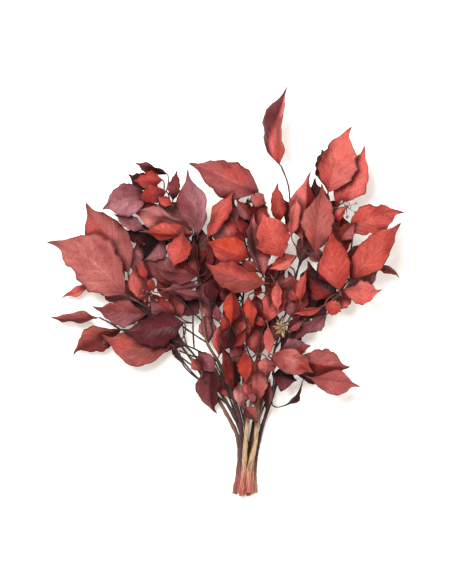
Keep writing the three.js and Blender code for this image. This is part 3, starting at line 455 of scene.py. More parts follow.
STEMS["stem_front"] = {
    "cane": [
        [-3.5, 0, 13.3, 2.8], [-0.8, 28, 13.5, 2.8], [1, 58, 24, 2.4], [3, 76, 31, 2.2], [7, 100, 43, 2],
        [11, 130, 55, 1.8], [15, 160, 66, 1.5], [24, 190, 76, 1.3], [30, 214, 86, 1],
    ],
    "twigs": [
        [[11, 130, 55, 1.2], [2, 150, 72, 1.1], [0, 178, 86, 1]],
        [[2, 150, 72, 1.1], [-8, 162, 76, 1], [-14, 174, 78, 0.9]],
    ],
    "leaves": [
        [3, 201, 8, 169, 13, 104, -8, 1, 1, "brick orange"],
        [4, 180, 22, 172, 9, 98, -4, -1, 1, "rosebrown orange"],
        [0, 166, -12, 151, 10, 92, -4, 1, 1, "brick deep"],
        [15, 214, 9, 200, 8, 92, -4, 1, 1, "orange coral"],
        [-1, 178, -6, 165, 8, 90, -4, 1, 1, "rosewood deep"],
        [22, 224, 21, 188, 10, 84, -6, -1, 1, "salmon bright"],
        [32, 215, 32, 186, 10, 102, -8, 1, 1, "salmon"],
        [23, 171, 24, 142, 12, 98, -8, 1, 1, "salmon"],
        [21, 141, 21, 123, 18, 94, -14, -1, 1, "rose salmon"],
        [0, 147, 0, 113, 13, 98, -10, 1, 1, "orange"],
        [-13, 138, -12, 108, 12, 76, -12, -1, 1, "maroon deep"],
        [-14, 172, -21, 146, 16, 80, -8, 1, 1, "maroon burgundy"],
        [25, 117, 21, 82, 9, 66, -14, 1, 1, "mauve burgundy"],
        [-1, 91, 13, 74, 12, 58, -8, -1, 1, "rosebrown plum"],
        [6, 107, 8, 94, 8, 70, -4, 1, 1, "mauve rosewood"],
    ],
    "inner": [
        [10, 92, 12, 142, 22, 52, 2, -1, 1, "salmon rosebrown"],
        [-2, 88, -6, 118, 12, 44, 2, 1, 1, "blush"],
        [22, 176, 38, 226, 22, 74, 0, 1, 1, "bright"],
    ],
}

# Leaves that the bunch lies on
RESTING = [
    ("stem_outer_left", [-104, 196, -152, 220, 26, 26, -40, 1, 2, "blush"]),
    ("stem_low_left", [-84, 160, -128, 148, 26, 14, -30, -1, 2, "burgundy"]),
    ("stem_left", [-58, 268, -84, 306, 24, 34, -60, 1, 2, "blush"]),
    ("stem_centre_right", [78, 262, 92, 306, 24, 32, -60, -1, 2, "deep"]),
    ("stem_right", [98, 206, 138, 232, 26, 24, -50, 1, 2, "blush"]),
    ("stem_low_right", [50, 126, 88, 124, 20, 22, -40, 1, 1, "deep"]),
]

# The stem whose cut end shows where the frame lies, and how deep that end is taken
STRAIGHT_STEM = "stem_centre_right"
CUT_DEPTH = 0.5
# A leaf behind one of these tones is deep red, and behind any other it is maroon. These dark tones are
# painted shade, for leaves that lie in the shade deep in the bunch
WARM_TONES = ["bright", "salmon", "coral", "orange", "brick", "faded", "rose", "rosebrown"]

# Bare radiating flower stalks, and a dried tuft
UMBELS = [
    {
        "stem": "stem_outer_left", "centre": [-97, 203, 52], "reach": 11, "count": 8,
        "lean": 0.9, "bark": "rosy", "shape": UMBEL_STALK, "thickness": 0.75,
    },
    {
        "stem": "stem_centre_right", "centre": [101, 291, 84], "reach": 11, "count": 9,
        "lean": 0.5, "bark": "grey", "shape": UMBEL_STALK, "thickness": 1.25,
    },
    {
        "stem": "stem_centre_right", "centre": [37, 171, 56], "reach": 9, "count": 29,
        "lean": 0.5, "bark": "straw", "shape": DRY_STRAND, "thickness": 1,
    },
]
# Radii of an umbel's own stem, from the wood to where its stalks spread
UMBEL_STEM = [0.8, 0.6, 0.7]

# Finer shape of a shown blade, as shares of its width or length
BLADE_ROWS = 32
BLADE_COLUMNS = 14
BASE_END = 0.36
BASE_TAPER = 0.3
TIP_START = 0.76
TIP_HOLLOW = 0.42
TIP_HOOK = 0.06
TIP_CURL = 0.1
BELLY = 0.09
CURL = 0.4
RUFFLE = 0.13
RUFFLE_TURNS = 21
PLEAT = 0.017
PLEAT_SLANT = 0.3
PLEAT_TURNS = 38
MARGIN = 0.045
MARGIN_TURNS = 33
NOTCH = 0.02
NOTCH_TURNS = 71
LEAST_WIDTH = 0.02
# How much of these traits every leaf has, and for the ruffle how much differs between leaves
RUFFLE_LEVELS = (0.55, 0.45)
BELLY_LEVEL = 0.4
MARGIN_LEVEL = 0.4
# How fast each trait changes from leaf to leaf
PACES = {
    "ruffle": 2.9,
    "curl": 1.7,
    "belly": 2.3,
    "margin": 4.7,
    "hook": 1.9,
    "tip": 2.7,
    "shade": 5.1,
    "gloss": 3.3,
}
# How closely a corner of the frame has to be met
MATCH_GAP = 0.04
# The change of shade between leaves, how strongly painted deep shade darkens inner leaves, and how
# sharply the tones of two halves meet, which is on a slant in a folded leaf
SHADE_CHANGE = 0.12
INNER_PAINTED_SHADE = 0.3
RIB_EDGE = 4
FOLDED_SLANT = 1.6
# The step between the patterns of two leaves
NUMBER_STEP = 0.37

# Where other pieces stand over a place, shade is painted into its colour. The places are counted in
# square cells
CELL = 2
CELL_COUNT = 260
SHELTER_REACH = 2
SHELTER_GAP = 3
SHELTER_RISE = 6
SHELTER_SHARE = 0.7
SHELTER_EDGE = 2.2
# Painted shade: what colours are multiplied by where they are fully covered
PAINTED_COVER_SHADE = (0.38, 0.28, 0.3)

# Sides and rings of the canes, twigs and leaf stalks
CANE = {"name": "cane", "sides": 14, "rings": 60, "rough": 0.1}
TWIG = {"name": "twig", "sides": 8, "rings": 20, "rough": 0.07}
STALK = {"name": "stalk", "sides": 6, "rings": 9, "rough": 0.03}
# How far up the rib a leaf stalk runs, and the inset of a rod's end
STALK_END = 0.06
END_INSET = 0.18
KNOT = 0.22
KNOT_SPACING = 17
# Waves of the skin: turns about the rod, the step from rod to rod, and the pace along it
SKIN_WAVES = [(2, 1, 0.21), (3, -1, 0.37), (1, 2, 0.9)]
# How the grain runs along a rod, and how far it is moved from rod to rod
GRAIN_STRETCH = 0.12
GRAIN_STEP = 7
FLOOR_MARGIN = 0.02

# Patterns: how fine they are, their detail and their roughness
PATCHES = (26, 2, 0.5)
SHADES = (42, 2, 0.5)
MOTTLE = (420, 4, 0.7)
LEAF_STREAKS = (1.6, 4, 0.65)
BARK_STREAKS = (1.6, 5, 0.75)
SPECKS = (5, 3, 0.7)
BLOTS = (0.55, 4, 0.75)
UNEVENNESS = (3, 2, 0.5)
# Veins: how they slant from the rib, how many there are, and how far they and the rim wander
VEIN_SLANT = 0.6
VEIN_COUNT = 8
VEIN_WANDER = 0.6
RIM_WANDER = 0.08
# How close the streaks lie along the blade, across it and from leaf to leaf
STREAK_PACES = (9, 3, 40)
# How strong and how high the relief is, in metres
LEAF_RELIEF = (0.6, 0.0005)
BARK_RELIEF = (0.6, 0.0006)
# What the colour of bark is multiplied by
BLOTTED = (0.36, 0.2, 0.18)
STREAKED = (0.4, 0.3, 0.28)
SCUFFED = (1.5, 1.5, 1.45)
SPECKLED = (0.3, 0.24, 0.24)

# Each kind of leaf: how rough and how shiny it is, and what its pale bloom is multiplied by
LEAF_LOOKS = {
    "coral_leaf": (0.34, 0.09, (1.25, 1.7, 1.7)),
    "mauve_leaf": (0.4, 0.12, (1.5, 1.9, 1.8)),
    "burgundy_leaf": (0.32, 0.1, (1.5, 1.8, 1.8)),
}
SMOOTH_UP_TO = 60

# The table, and the faint glow that lifts its shadows
TABLE_SIZE = 6
TABLE_ROUGHNESS = 0.9
TABLE_TONES = ((0.95, 0.91, 0.86), (0.98, 0.95, 0.91))
TABLE_GLOW = (1, 0.93, 0.84)
TABLE_GLOW_STRENGTH = 0.22

# The view's middle and height on the layout's grid, and the level where its scale holds
VIEW_MIDDLE = (-19, 206)
VIEW_HEIGHT = 584
VIEW_LEVEL = 70
CAMERA_DISTANCE = 6
SENSOR = 36
FARTHEST_SEEN = 50

# Soft light from a bright room and a large window at the upper left
ROOM_LIGHT = 0.85
ROOM_TONE = (1, 0.965, 0.95, 1)
WINDOW_SIZE = 0.6
WINDOW_POWER = 65
WINDOW_PLACE = (-0.3, 0.42, 2.1)


def unit(a):
    a = np.asarray(a, float)
    return a / np.linalg.norm(a)


def linear(tone):
    """The paint that shows an sRGB tone in full light, as linear red, green and blue."""
    share = np.array(tone, float) / 255
    return np.where(share <= 0.04045, share / 12.92, ((share + 0.055) / 1.055) ** 2.4) / FULL_LIGHT


def random_from(seed):
    """Repeatable random numbers from 0 to 1."""
    state = seed

    def draw():
        nonlocal state
        state = (state + 0x6D2B79F5) & 0xFFFFFFFF
        mixed = ((state ^ (state >> 15)) * (state | 1)) & 0xFFFFFFFF
        mixed ^= (mixed + (mixed ^ (mixed >> 7)) * (mixed | 61)) & 0xFFFFFFFF
        return (mixed ^ (mixed >> 14)) / 4294967296

    return draw


def drawn(amounts, random):
    return amounts[0] + amounts[1] * random()


def smooth_through(places, values, t):
    """A smooth curve through values at given places, read at each t."""
    places = np.asarray(places, float)
    values = np.asarray(values, float)
    flat = values.ndim == 1
    if flat:
        values = values[:, None]
    slopes = np.gradient(values, places, axis=0)
    i = np.clip(np.searchsorted(places, t, side="right") - 1, 0, len(places) - 2)
    gap = (places[i + 1] - places[i])[:, None]
    u = (np.asarray(t)[:, None] - places[i][:, None]) / gap
    curve = (
        values[i] * (2 * u**3 - 3 * u**2 + 1)
        + slopes[i] * gap * (u**3 - 2 * u**2 + u)
        + values[i + 1] * (3 * u**2 - 2 * u**3)
        + slopes[i + 1] * gap * (u**3 - u**2)
    )
    return curve[:, 0] if flat else curve


# The leaves of the frame, worked out again from the layout


class Blade:
    """The middle sheet of a leaf's blade."""

    def __init__(self, leaf, lift, form, phase):
        base_x, base_y, tip_x, tip_y, width, height, rise, turn, bow = leaf[:9]
        self.form = form
        self.phase = phase
        self.base = np.array([base_x * UNIT, base_y * UNIT, height + lift])
        tip = np.array([tip_x * UNIT, tip_y * UNIT, height + lift + rise])
        shown = width * UNIT
        self.run = tip - self.base
        self.length = np.linalg.norm(self.run)
        along = unit(self.run)
        self.side = unit([-along[1], along[0], 0])
        self.up = np.cross(along, self.side)
        self.bow = bow * UNIT
        self.full = max(shown * WIDTH_RESERVE, self.length * FULL_WIDTH)
        flat = shown / (self.full * math.cos(FOLD))
        self.roll = turn * math.acos(min(1, max(FLATTEST, flat)))
        self.twist = TWIST * math.sin(phase * TWIST_PACE)
        self.droop = DROOP * (1 + math.sin(phase * DROOP_PACE))

    def across(self, half, t):
        """The direction across one half of the blade at each place, and its normal."""
        angle = (FOLD + half["way"] * (self.roll + self.twist * (t - 0.5)))[:, None]
        out = self.side * half["way"] * np.cos(angle) + self.up * np.sin(angle)
        raised = -self.side * half["way"] * np.sin(angle) + self.up * np.cos(angle)
        return out, raised

    def edge(self, half):
        """At the form's places, how far one edge reaches and rises, as shares of its half width."""
        t = np.array(self.form["places"], float)
        lobed = 1 + LOBE * np.sin(self.phase * half["lobe_pace"] + t * half["lobe_turns"])
        wave = 2 * WAVE * np.sin(self.phase + half["offset"] + t * half["ripple"])
        return lobed, wave

    def rib(self, t):
        t = np.asarray(t, float)[:, None]
        hump = 4 * t * (1 - t)
        arched = self.up * self.length * (ARCH * hump - self.droop * t * t)
        return self.base + self.run * t + self.side * self.bow * hump + arched

    def stations(self):
        """Left, rib and right points at the form's places, each with its normal."""
        t = np.array(self.form["places"], float)
        rib = self.rib(t)
        half_width = (np.array(self.form["widths"], float) * self.full / 2)[:, None]
        edges = []
        for half in (LEFT, RIGHT):
            out, raised = self.across(half, t)
            lobed, wave = self.edge(half)
            edges.append((rib + (out * lobed[:, None] + raised * wave[:, None]) * half_width, raised))
        rib_up = edges[0][1] + edges[1][1]
        rib_up /= np.linalg.norm(rib_up, axis=1)[:, None]
        return [edges[0], (rib, rib_up), edges[1]]


def faces_of(point, normal):
    half = BLADE_THICKNESS / 2
    if point[2] < half + PRESS_MARGIN:
        return [[point[0], point[1], BLADE_THICKNESS], [point[0], point[1], 0]]
    above = point + normal * half
    below = point - normal * half
    return [above, [below[0], below[1], max(below[2], 0)]]


def blade_marks(blade):
    """The corners that the frame's solid has on this blade."""
    marks = []
    (left, left_up), (rib, rib_up), (right, right_up) = blade.stations()
    last = len(rib) - 1
    for i in range(1, last):
        marks += faces_of(left[i], left_up[i])
        marks += faces_of(rib[i], rib_up[i])
        marks += faces_of(right[i], right_up[i])
    return marks + faces_of(rib[last], rib_up[last])


def stalk_run(start, blade):
    """The middle line of a leaf's stalk, and its directions. A coarse leaf's stalk is straight."""
    (left, _), (rib, _), (right, _) = blade.stations()
    root = rib[0]
    ahead = unit(rib[1] - root)
    straight = root - start
    across = unit(left[0] - right[0])
    if blade.form is COARSE:
        return [start, root], [unit(straight), unit(unit(straight) + ahead)], across
    middle = start + straight * STALK_BEND_PLACE - ahead * STALK_BEND * np.linalg.norm(straight)
    ways = [unit(middle - start), unit(straight), unit(unit(root - middle) + ahead)]
    return [start, middle, root], ways, across


def stalk_marks(start, blade):
    """The corners that the frame's solid has on a leaf's stalk."""
    centres, ways, across = stalk_run(start, blade)
    marks = []
    for i in range(len(centres) - 1, 0, -1):
        across = unit(across - ways[i] * np.dot(across, ways[i]))
        up = np.cross(ways[i], across)
        middle = centres[i].copy()
        middle[2] = max(middle[2], PETIOLE_RADIUS)
        marks += [middle + out * PETIOLE_RADIUS for out in (across, up, -across, -up)]
    return marks


def joints(net, base, way):
    """Places on a stem's wood where a leaf may join, the best first."""
    gaps = net - base
    ahead = np.maximum(0, gaps @ way)
    above = np.maximum(0, gaps[:, 1])
    cost = np.linalg.norm(gaps, axis=1) + AHEAD_COST * ahead + ABOVE_COST * above
    chosen = []
    for i in np.argsort(cost, kind="stable"):
        apart = all(np.linalg.norm(other - net[i]) > JOINT_SPACING for other in chosen)
        if apart and len(chosen) < JOINT_COUNT:
            chosen.append(net[i])
    return chosen


def to_millimetres(points):
    return [[x * UNIT, y * UNIT, z, r] for x, y, z, r in points]


def wood_net(stem):
    """The points of a stem's wood that may carry leaves."""
    cane = [point for point in to_millimetres(stem["cane"]) if point[1] > BARE_LENGTH]
    net = []
    for run in [cane] + [to_millimetres(twig) for twig in stem["twigs"]]:
        for i, point in enumerate(run):
            net.append(point[:3])
            if i > 0:
                net.append([(point[axis] + run[i - 1][axis]) / 2 for axis in range(3)])
    return np.array(net)


def values_of(items, key, width):
    """A row of numbers for each item of a mesh's data."""
    values = np.empty(len(items) * width)
    items.foreach_get(key, values)
    return values.reshape(-1, width)


def corners(obj):
    return values_of(obj.data.vertices, "co", 3)


def frame_shift():
    """How far the frame lies from the layout, from the cut end of one straight cane."""
    points = corners(frame["nodes"][STRAIGHT_STEM]) / MM
    end = points[points[:, 1] < points[:, 1].min() + CUT_DEPTH]
    end = np.unique(np.round(end, 3), axis=0)
    return end.mean(axis=0) - np.array(to_millimetres(STEMS[STRAIGHT_STEM]["cane"])[0][:3])


def node_trees(shift):
    """For each node, a lookup of its corners in the layout's place."""
    trees = {}
    for name in STEMS:
        points = np.unique(np.round(corners(frame["nodes"][name]) / MM - shift, 4), axis=0)
        trees[name] = KDTree(len(points))
        for i, point in enumerate(points):
            trees[name].insert(point, i)
        trees[name].balance()
    return trees


def best_found(options, tree, marks_of):
    """The option with the largest share of its corners in the frame, or the first of such."""

    def share(option):
        marks = marks_of(option)
        return sum(tree.find(mark)[2] < MATCH_GAP for mark in marks) / len(marks)

    return max(options, key=share)


def shown_form(leaf):
    return FINE if math.hypot(leaf[2] - leaf[0], leaf[3] - leaf[1]) > FINE_LEAF_LENGTH else PLAIN


def placed_leaf(net, tree, leaf, form, phase):
    """A leaf's blade, and the start of its stalk, at the height and joint that the frame has."""
    lifts = range(-LIFT_COUNT * LIFT_STEP, (LIFT_COUNT + 1) * LIFT_STEP, LIFT_STEP)
    blade = best_found([Blade(leaf, lift, form, phase) for lift in lifts], tree, blade_marks)
    base = np.array([leaf[0] * UNIT, leaf[1] * UNIT, leaf[5]])
    options = joints(net, base, unit([leaf[2] - leaf[0], leaf[3] - leaf[1], 0]))
    start = best_found(options, tree, lambda option: stalk_marks(option, blade))
    return blade, start


def back_leaves(name, stem, random):
    """Leaves behind the larger shown ones, turned towards the middle of the bunch."""
    leaves = []
    for leaf in stem["leaves"]:
        x0, y0, x1, y1, width, height = leaf[:6]
        length = math.hypot(x1 - x0, y1 - y0)
        if length < BACKED_LEAF_LENGTH or (y1 > BACK_LEAVES_END and name == "stem_centre"):
            continue
        inward = np.sign((y1 - y0) * (MIDDLE_X - x0) - (x1 - x0) * (MIDDLE_Y - y0)) or 1
        angle = math.atan2(y1 - y0, x1 - x0) - inward * drawn(BACK_TURN, random)
        reach = length * drawn(BACK_REACH, random)
        level = height - drawn(BACK_DEPTH, random)
        shown = max(BACK_LEAST_WIDTH, min(reach * FULL_WIDTH, width + BACK_EXTRA_WIDTH))
        start = [x0 + BACK_START * math.cos(angle), y0 + BACK_START * math.sin(angle)]
        end = [start[0] + reach * math.cos(angle), start[1] + reach * math.sin(angle)]
        rise = drawn(BACK_RISE, random)
        bow = drawn(BACK_BOW, random)
        # Painted shade: back leaves take dark tones
        tone = "deep" if leaf[9].split()[0] in WARM_TONES else "maroon"
        leaves.append([*start, *end, shown, level, rise, 1, bow, tone])
    return leaves


def all_leaves(trees):
    """Every leaf of the bunch, in the order in which the frame placed them."""
    nets = {name: wood_net(stem) for name, stem in STEMS.items()}
    # The last number weighs painted deep shade: none on shown leaves, some on resting and inner ones,
    # full on back ones
    queue = [(name, leaf, shown_form(leaf), 0) for name, stem in STEMS.items() for leaf in stem["leaves"]]
    queue += [(name, leaf, COARSE, INNER_PAINTED_SHADE) for name, leaf in RESTING]
    queue += [(name, leaf, COARSE, INNER_PAINTED_SHADE) for name, stem in STEMS.items() for leaf in stem["inner"]]
    random = random_from(SEED)
    for name, stem in STEMS.items():
        queue += [(name, leaf, COARSE, 1) for leaf in back_leaves(name, stem, random)]
    leaves = []
    for i, (name, leaf, form, depth) in enumerate(queue):
        blade, start = placed_leaf(nets[name], trees[name], leaf, form, PHASE_STEP * (i + 1))
        marks = leaf[9].split()
        tones = [mark for mark in marks if mark in TONES]
        found = {"stem": name, "blade": blade, "start": start, "depth": depth}
        leaves.append({**found, "tones": tones, "marks": marks})
    return leaves


# Modelling helpers


def deselect():
    bpy.ops.object.select_all(action="DESELECT")


def take(obj):
    """Makes an object the only one selected, and the active one."""
    deselect()
    obj.select_set(True)
    bpy.context.view_layer.objects.active = obj


def pick(obj, kind, wanted):
    """In edit mode, selects the wanted corners, edges or faces, and nothing else."""
    bpy.ops.mesh.select_mode(type=kind)
    bpy.ops.mesh.select_all(action="DESELECT")
    shape = bmesh.from_edit_mesh(obj.data)
    for item in {"VERT": shape.verts, "EDGE": shape.edges, "FACE": shape.faces}[kind]:
        item.select = wanted(item)
    shape.select_flush_mode()
    bmesh.update_edit_mesh(obj.data)


def copied(blank, name):
    """A copy of a modelled blank with a mesh of its own."""
    piece = bpy.data.objects.new(name, blank.data.copy())
    bpy.context.scene.collection.objects.link(piece)
    return piece


def set_corners(obj, points):
    obj.data.vertices.foreach_set("co", np.asarray(points, float).ravel())
    obj.data.update()


def set_tone(obj, name, colours):
    """Keeps a colour for each corner in the mesh."""
    layer = obj.data.attributes.new(name, "FLOAT_COLOR", "POINT")
    layer.data.foreach_set("color", np.hstack([colours, np.ones((len(colours), 1))]).ravel())


def set_vector(obj, name, vectors):
    layer = obj.data.attributes.new(name, "FLOAT_VECTOR", "POINT")
    layer.data.foreach_set("vector", np.asarray(vectors, float).ravel())


def joined(pieces, name):
    """Joins pieces into one object, at the origin, with its place in its mesh."""
    take(pieces[0])
    for piece in pieces[1:]:
        piece.select_set(True)
    bpy.ops.object.join()
    whole = bpy.context.view_layer.objects.active
    whole.name = name
    whole.data.name = name
    return whole


# Leaf blades


def outline(form, t):
    """Half the width of a blade along its rib, drawn in at its base and at its hollow tip."""
    widths = np.maximum(smooth_through(form["places"], form["widths"], t), 0)
    toward_base = np.clip(1 - t / BASE_END, 0, 1)
    toward_tip = np.clip((t - TIP_START) / (1 - TIP_START), 0, 1)
    return widths * (1 - BASE_TAPER * toward_base) * (1 - TIP_HOLLOW * 4 * toward_tip * (1 - toward_tip))


def blade_blank(form):
    """A flat blade of length one: a grid whose rows are drawn in to the outline."""
    deselect()
    bpy.ops.mesh.primitive_grid_add(
        x_subdivisions=BLADE_ROWS, y_subdivisions=BLADE_COLUMNS, size=1, location=(0.5, 0, 0)
    )
    blank = bpy.context.object
    near = 0.4 / BLADE_ROWS
    bpy.ops.object.transform_apply(location=True, rotation=True, scale=True)
    bpy.ops.object.mode_set(mode="EDIT")
    for row in range(BLADE_ROWS):
        place = row / BLADE_ROWS
        pick(blank, "VERT", lambda corner, place=place: abs(corner.co.x - place) < near)
        spread = 2 * float(outline(form, np.array([place]))[0])
        bpy.ops.transform.resize(value=(1, spread, 1), center_override=(place, 0, 0))
    pick(blank, "VERT", lambda corner: corner.co.x > 1 - near)
    bpy.ops.mesh.merge(type="CENTER")
    bpy.ops.object.mode_set(mode="OBJECT")
    return blank


def varied(number, trait):
    """A share from -1 to 1 of a trait, which differs from leaf to leaf."""
    return math.sin(number * PACES[trait])


def blade_half(blade, half, t, reach, share, number):
    """Points of one half of a blade, waved and ruffled towards its edge."""
    out, raised = blade.across(half, t)
    level = np.abs(raised[:, 2]) ** 2
    lobed, wave = [smooth_through(blade.form["places"], values, t) for values in blade.edge(half)]
    turn = number + half["way"]
    size = RUFFLE_LEVELS[0] + RUFFLE_LEVELS[1] * varied(turn, "ruffle")
    ruffle = RUFFLE * size * np.sin(turn + t * RUFFLE_TURNS)
    curl = CURL * varied(turn, "curl") * np.sin(math.pi * t)
    inside = 4 * share * (1 - share)
    belly = BELLY * (BELLY_LEVEL + varied(number, "belly")) * inside
    pleat = PLEAT * np.sin(turn + (t - PLEAT_SLANT * share) * PLEAT_TURNS) * inside
    margin = MARGIN * np.sin(turn * 2 + t * MARGIN_TURNS) + NOTCH * np.sin(turn * 5 + t * NOTCH_TURNS)
    margin *= MARGIN_LEVEL + abs(varied(number, "margin"))
    sideways = reach * (lobed + margin * share**2) * blade.full / 2
    height = wave * share + (ruffle * share**2 + curl * share**3 + belly + pleat) * level
    rise = reach * height * blade.full / 2
    return blade.rib(t) + out * sideways[:, None] + raised * rise[:, None]


def blade_points(blade, flat, number):
    """Lays a flat blank on a blade's sheet."""
    t = np.clip(flat[:, 0], 0, 1)
    reach = np.abs(flat[:, 1])
    share = reach / np.maximum(outline(blade.form, t), 0.001)
    share = np.clip(share, 0, 1)
    left, right = [blade_half(blade, half, t, reach, share, number) for half in (LEFT, RIGHT)]
    points = np.where((flat[:, 1] >= 0)[:, None], left, right)
    toward_tip = np.clip((t - TIP_START) / (1 - TIP_START), 0, 1)[:, None] ** 2
    hook = blade.side * TIP_HOOK * varied(number, "hook") + blade.up * TIP_CURL * varied(number, "tip")
    return points + hook * blade.length * toward_tip


def halves(tones, left_share):
    """A blade's colours, from the tones of its left and right halves, which are partly the leaf's own
    colours and partly painted light and shade on a half.
    """
    left = linear(TONES[tones[0]][0])
    right = linear(TONES[tones[-1]][0])
    return right * (1 - left_share) + left * left_share


def blade_piece(blanks, leaf, number, shift):
    """One finished blade with its two faces and their tones."""
    blade = leaf["blade"]
    piece = copied(blanks[blade.form["name"]], "blade")
    flat = corners(piece)
    points = blade_points(blade, flat, number)
    points[:, 2] = np.clip(points[:, 2], SHOWN_THICKNESS / 2 + PRESS_MARGIN, cad_high[2] / MM)
    set_corners(piece, (points + shift) * MM)
    take(piece)
    wall = piece.modifiers.new("thickness", "SOLIDIFY")
    wall.thickness = SHOWN_THICKNESS * MM
    wall.offset = 0
    bpy.ops.object.modifier_apply(modifier=wall.name)

    wide = np.maximum(outline(blade.form, np.clip(flat[:, 0], 0, 1)), LEAST_WIDTH)
    slant = FOLDED_SLANT if "folded" in leaf["marks"] else 0
    past_rib = flat[:, 1] / wide + slant * (flat[:, 0] - 0.5)
    left_share = np.clip(0.5 + past_rib * RIB_EDGE, 0, 1)[:, None]
    sides = [leaf["tones"], [TONES[tone][2] for tone in leaf["tones"]]]
    flushes = [[TONES[tone][1] for tone in side] for side in sides]
    # Painted highlight: a leaf so marked has its top face flushed in patches with the pale blush tone
    if "glossy" in leaf["marks"]:
        flushes[0] = ["blush"]
    shade = 1 + SHADE_CHANGE * varied(number, "shade")
    set_tone(piece, "tone", np.vstack([halves(side, left_share) for side in sides]) * shade)
    set_tone(piece, "flush", np.vstack([halves(side, left_share) for side in flushes]))
    gloss = 0.5 + 0.5 * varied(number, "gloss")
    # The look's last number weighs the leaf's painted deep shade
    set_vector(piece, "look", [[number * NUMBER_STEP, gloss, leaf["depth"]]] * (2 * len(flat)))
    return piece


# Canes, twigs and stalks


def rod_blank(rod):
    """A straight closed rod of length and radius one, with rings to bend it at."""
    deselect()
    bpy.ops.mesh.primitive_cylinder_add(vertices=rod["sides"], radius=1, depth=1, location=(0, 0, 0.5))
    blank = bpy.context.object
    bpy.ops.object.transform_apply(location=True, rotation=True, scale=True)
    bpy.ops.object.mode_set(mode="EDIT")
    pick(blank, "EDGE", lambda edge: abs(edge.verts[0].co.z - edge.verts[1].co.z) > 0.5)
    bpy.ops.mesh.subdivide(number_cuts=rod["rings"] - 1)
    pick(blank, "FACE", lambda face: abs(face.normal.z) > 0.9)
    bpy.ops.mesh.inset(thickness=END_INSET, depth=0)
    bpy.ops.object.mode_set(mode="OBJECT")
    return blank


def rod_frames(run, levels):
    """Middle points, radii and cross directions of a smooth rod at levels from 0 to 1."""
    run = np.array(run, float)
    steps = np.linalg.norm(np.diff(run[:, :3], axis=0), axis=1)
    places = np.concatenate([[0], np.cumsum(steps)]) / steps.sum()
    curve = smooth_through(places, run, levels)
    middles = curve[:, :3]
    ways = np.gradient(middles, levels, axis=0)
    ways /= np.linalg.norm(ways, axis=1)[:, None]
    reference = np.array([1.0, 0, 0]) if abs(ways[0][2]) > 0.9 else np.array([0, 0, 1.0])
    across = unit(np.cross(reference, ways[0]))
    acrosses = []
    for way in ways:
        across = unit(across - way * np.dot(across, way))
        acrosses.append(across)
    acrosses = np.array(acrosses)
    return middles, curve[:, 3], acrosses, np.cross(ways, acrosses), steps.sum()


def rod_piece(blanks, rod, run, paint, number, shift):
    """A rod laid along a run, with an uneven skin, in one colour or in those that paint gives."""
    piece = copied(blanks[rod["name"]], "rod")
    straight = corners(piece)
    levels, level_of = np.unique(np.round(straight[:, 2], 5), return_inverse=True)
    middles, radii, across, up, length = rod_frames(run, levels)
    thick = radii[level_of]
    angle = np.arctan2(straight[:, 1], straight[:, 0])
    along = straight[:, 2] * length
    waves = [np.sin(angle * turns + number * step + along * pace) for turns, step, pace in SKIN_WAVES]
    knots = KNOT * np.exp(-((along % KNOT_SPACING - KNOT_SPACING / 2) ** 2) / 2)
    size = np.hypot(straight[:, 0], straight[:, 1])
    radius = (thick * size * (1 + knots + rod["rough"] * sum(waves) / 2))[:, None]
    points = middles[level_of]
    points = points + across[level_of] * np.cos(angle)[:, None] * radius
    points = points + up[level_of] * np.sin(angle)[:, None] * radius
    points[:, 2] = np.maximum(points[:, 2], FLOOR_MARGIN)
    set_corners(piece, (points + shift) * MM)
    set_tone(piece, "tone", paint(points) if callable(paint) else np.tile(paint, (len(points), 1)))
    grain = [np.cos(angle) * thick, np.sin(angle) * thick, along * GRAIN_STRETCH + number * GRAIN_STEP]
    set_vector(piece, "grain", np.stack(grain, axis=1))
    return piece


def slimmed(run):
    """Wood that grows thinner above the neck of the bunch."""
    past = [min(1, max(0, (point[1] - BARE_LENGTH) / (NECK_END - BARE_LENGTH))) for point in run]
    return [
        [*point[:3], max(THINNEST_TWIG, point[3] * (1 + (SLIMMED - 1) * share))]
        for point, share in zip(run, past)
    ]


def cane_tones(name, points):
    """The colours of a cane, from its cut end up to its leafy part."""
    cut, neck, upper = [linear(BARKS[bark]) for bark in STEM_BARKS[name][:3]]
    across, along = points[:, 0], points[:, 1]
    uneven = STAIN_EDGE * np.sin(across * STAIN_WAVES[0] + along * STAIN_WAVES[1])
    past_cut = np.clip(along / STAIN_END + uneven, 0, 1)[:, None]
    past_neck = np.clip((along - NECK_START) / (NECK_END - NECK_START), 0, 1)[:, None]
    lower = cut * (1 - past_cut**2) + neck * past_cut**2
    return lower * (1 - past_neck) + upper * past_neck


def leaf_stalk(leaf):
    """The run of a leaf's stalk, from the wood to a little way up the rib."""
    centres, _, _ = stalk_run(leaf["start"], leaf["blade"])
    if len(centres) == 2:
        centres.insert(1, (centres[0] + centres[1]) / 2)
    centres.append(leaf["blade"].rib([STALK_END])[0])
    return [[*place[:2], max(place[2], radius), radius] for place, radius in zip(centres, SHOWN_PETIOLE)]


def umbel_runs(umbel, net):
    """The run of an umbel's stem, and those of the stalks that spread from its end."""
    x, y, z = umbel["centre"]
    centre = np.array([x * UNIT, y * UNIT, z])
    start = joints(net, centre, np.array([0, 1, 0]))[0]
    places = (start, (start + centre) / 2, centre)
    runs = [[[*place, radius] for place, radius in zip(places, UMBEL_STEM)]]
    for k in range(umbel["count"]):
        angle = k * GOLDEN_TURN
        flat = UMBEL_LEANS[k % len(UMBEL_LEANS)]
        rise = umbel["lean"] * (UMBEL_RISE - flat)
        way = np.array([math.cos(angle) * flat, math.sin(angle) * flat, rise]) * umbel["reach"]
        runs.append([[*(centre + way * far), size * umbel["thickness"]] for far, size in umbel["shape"]])
    return runs


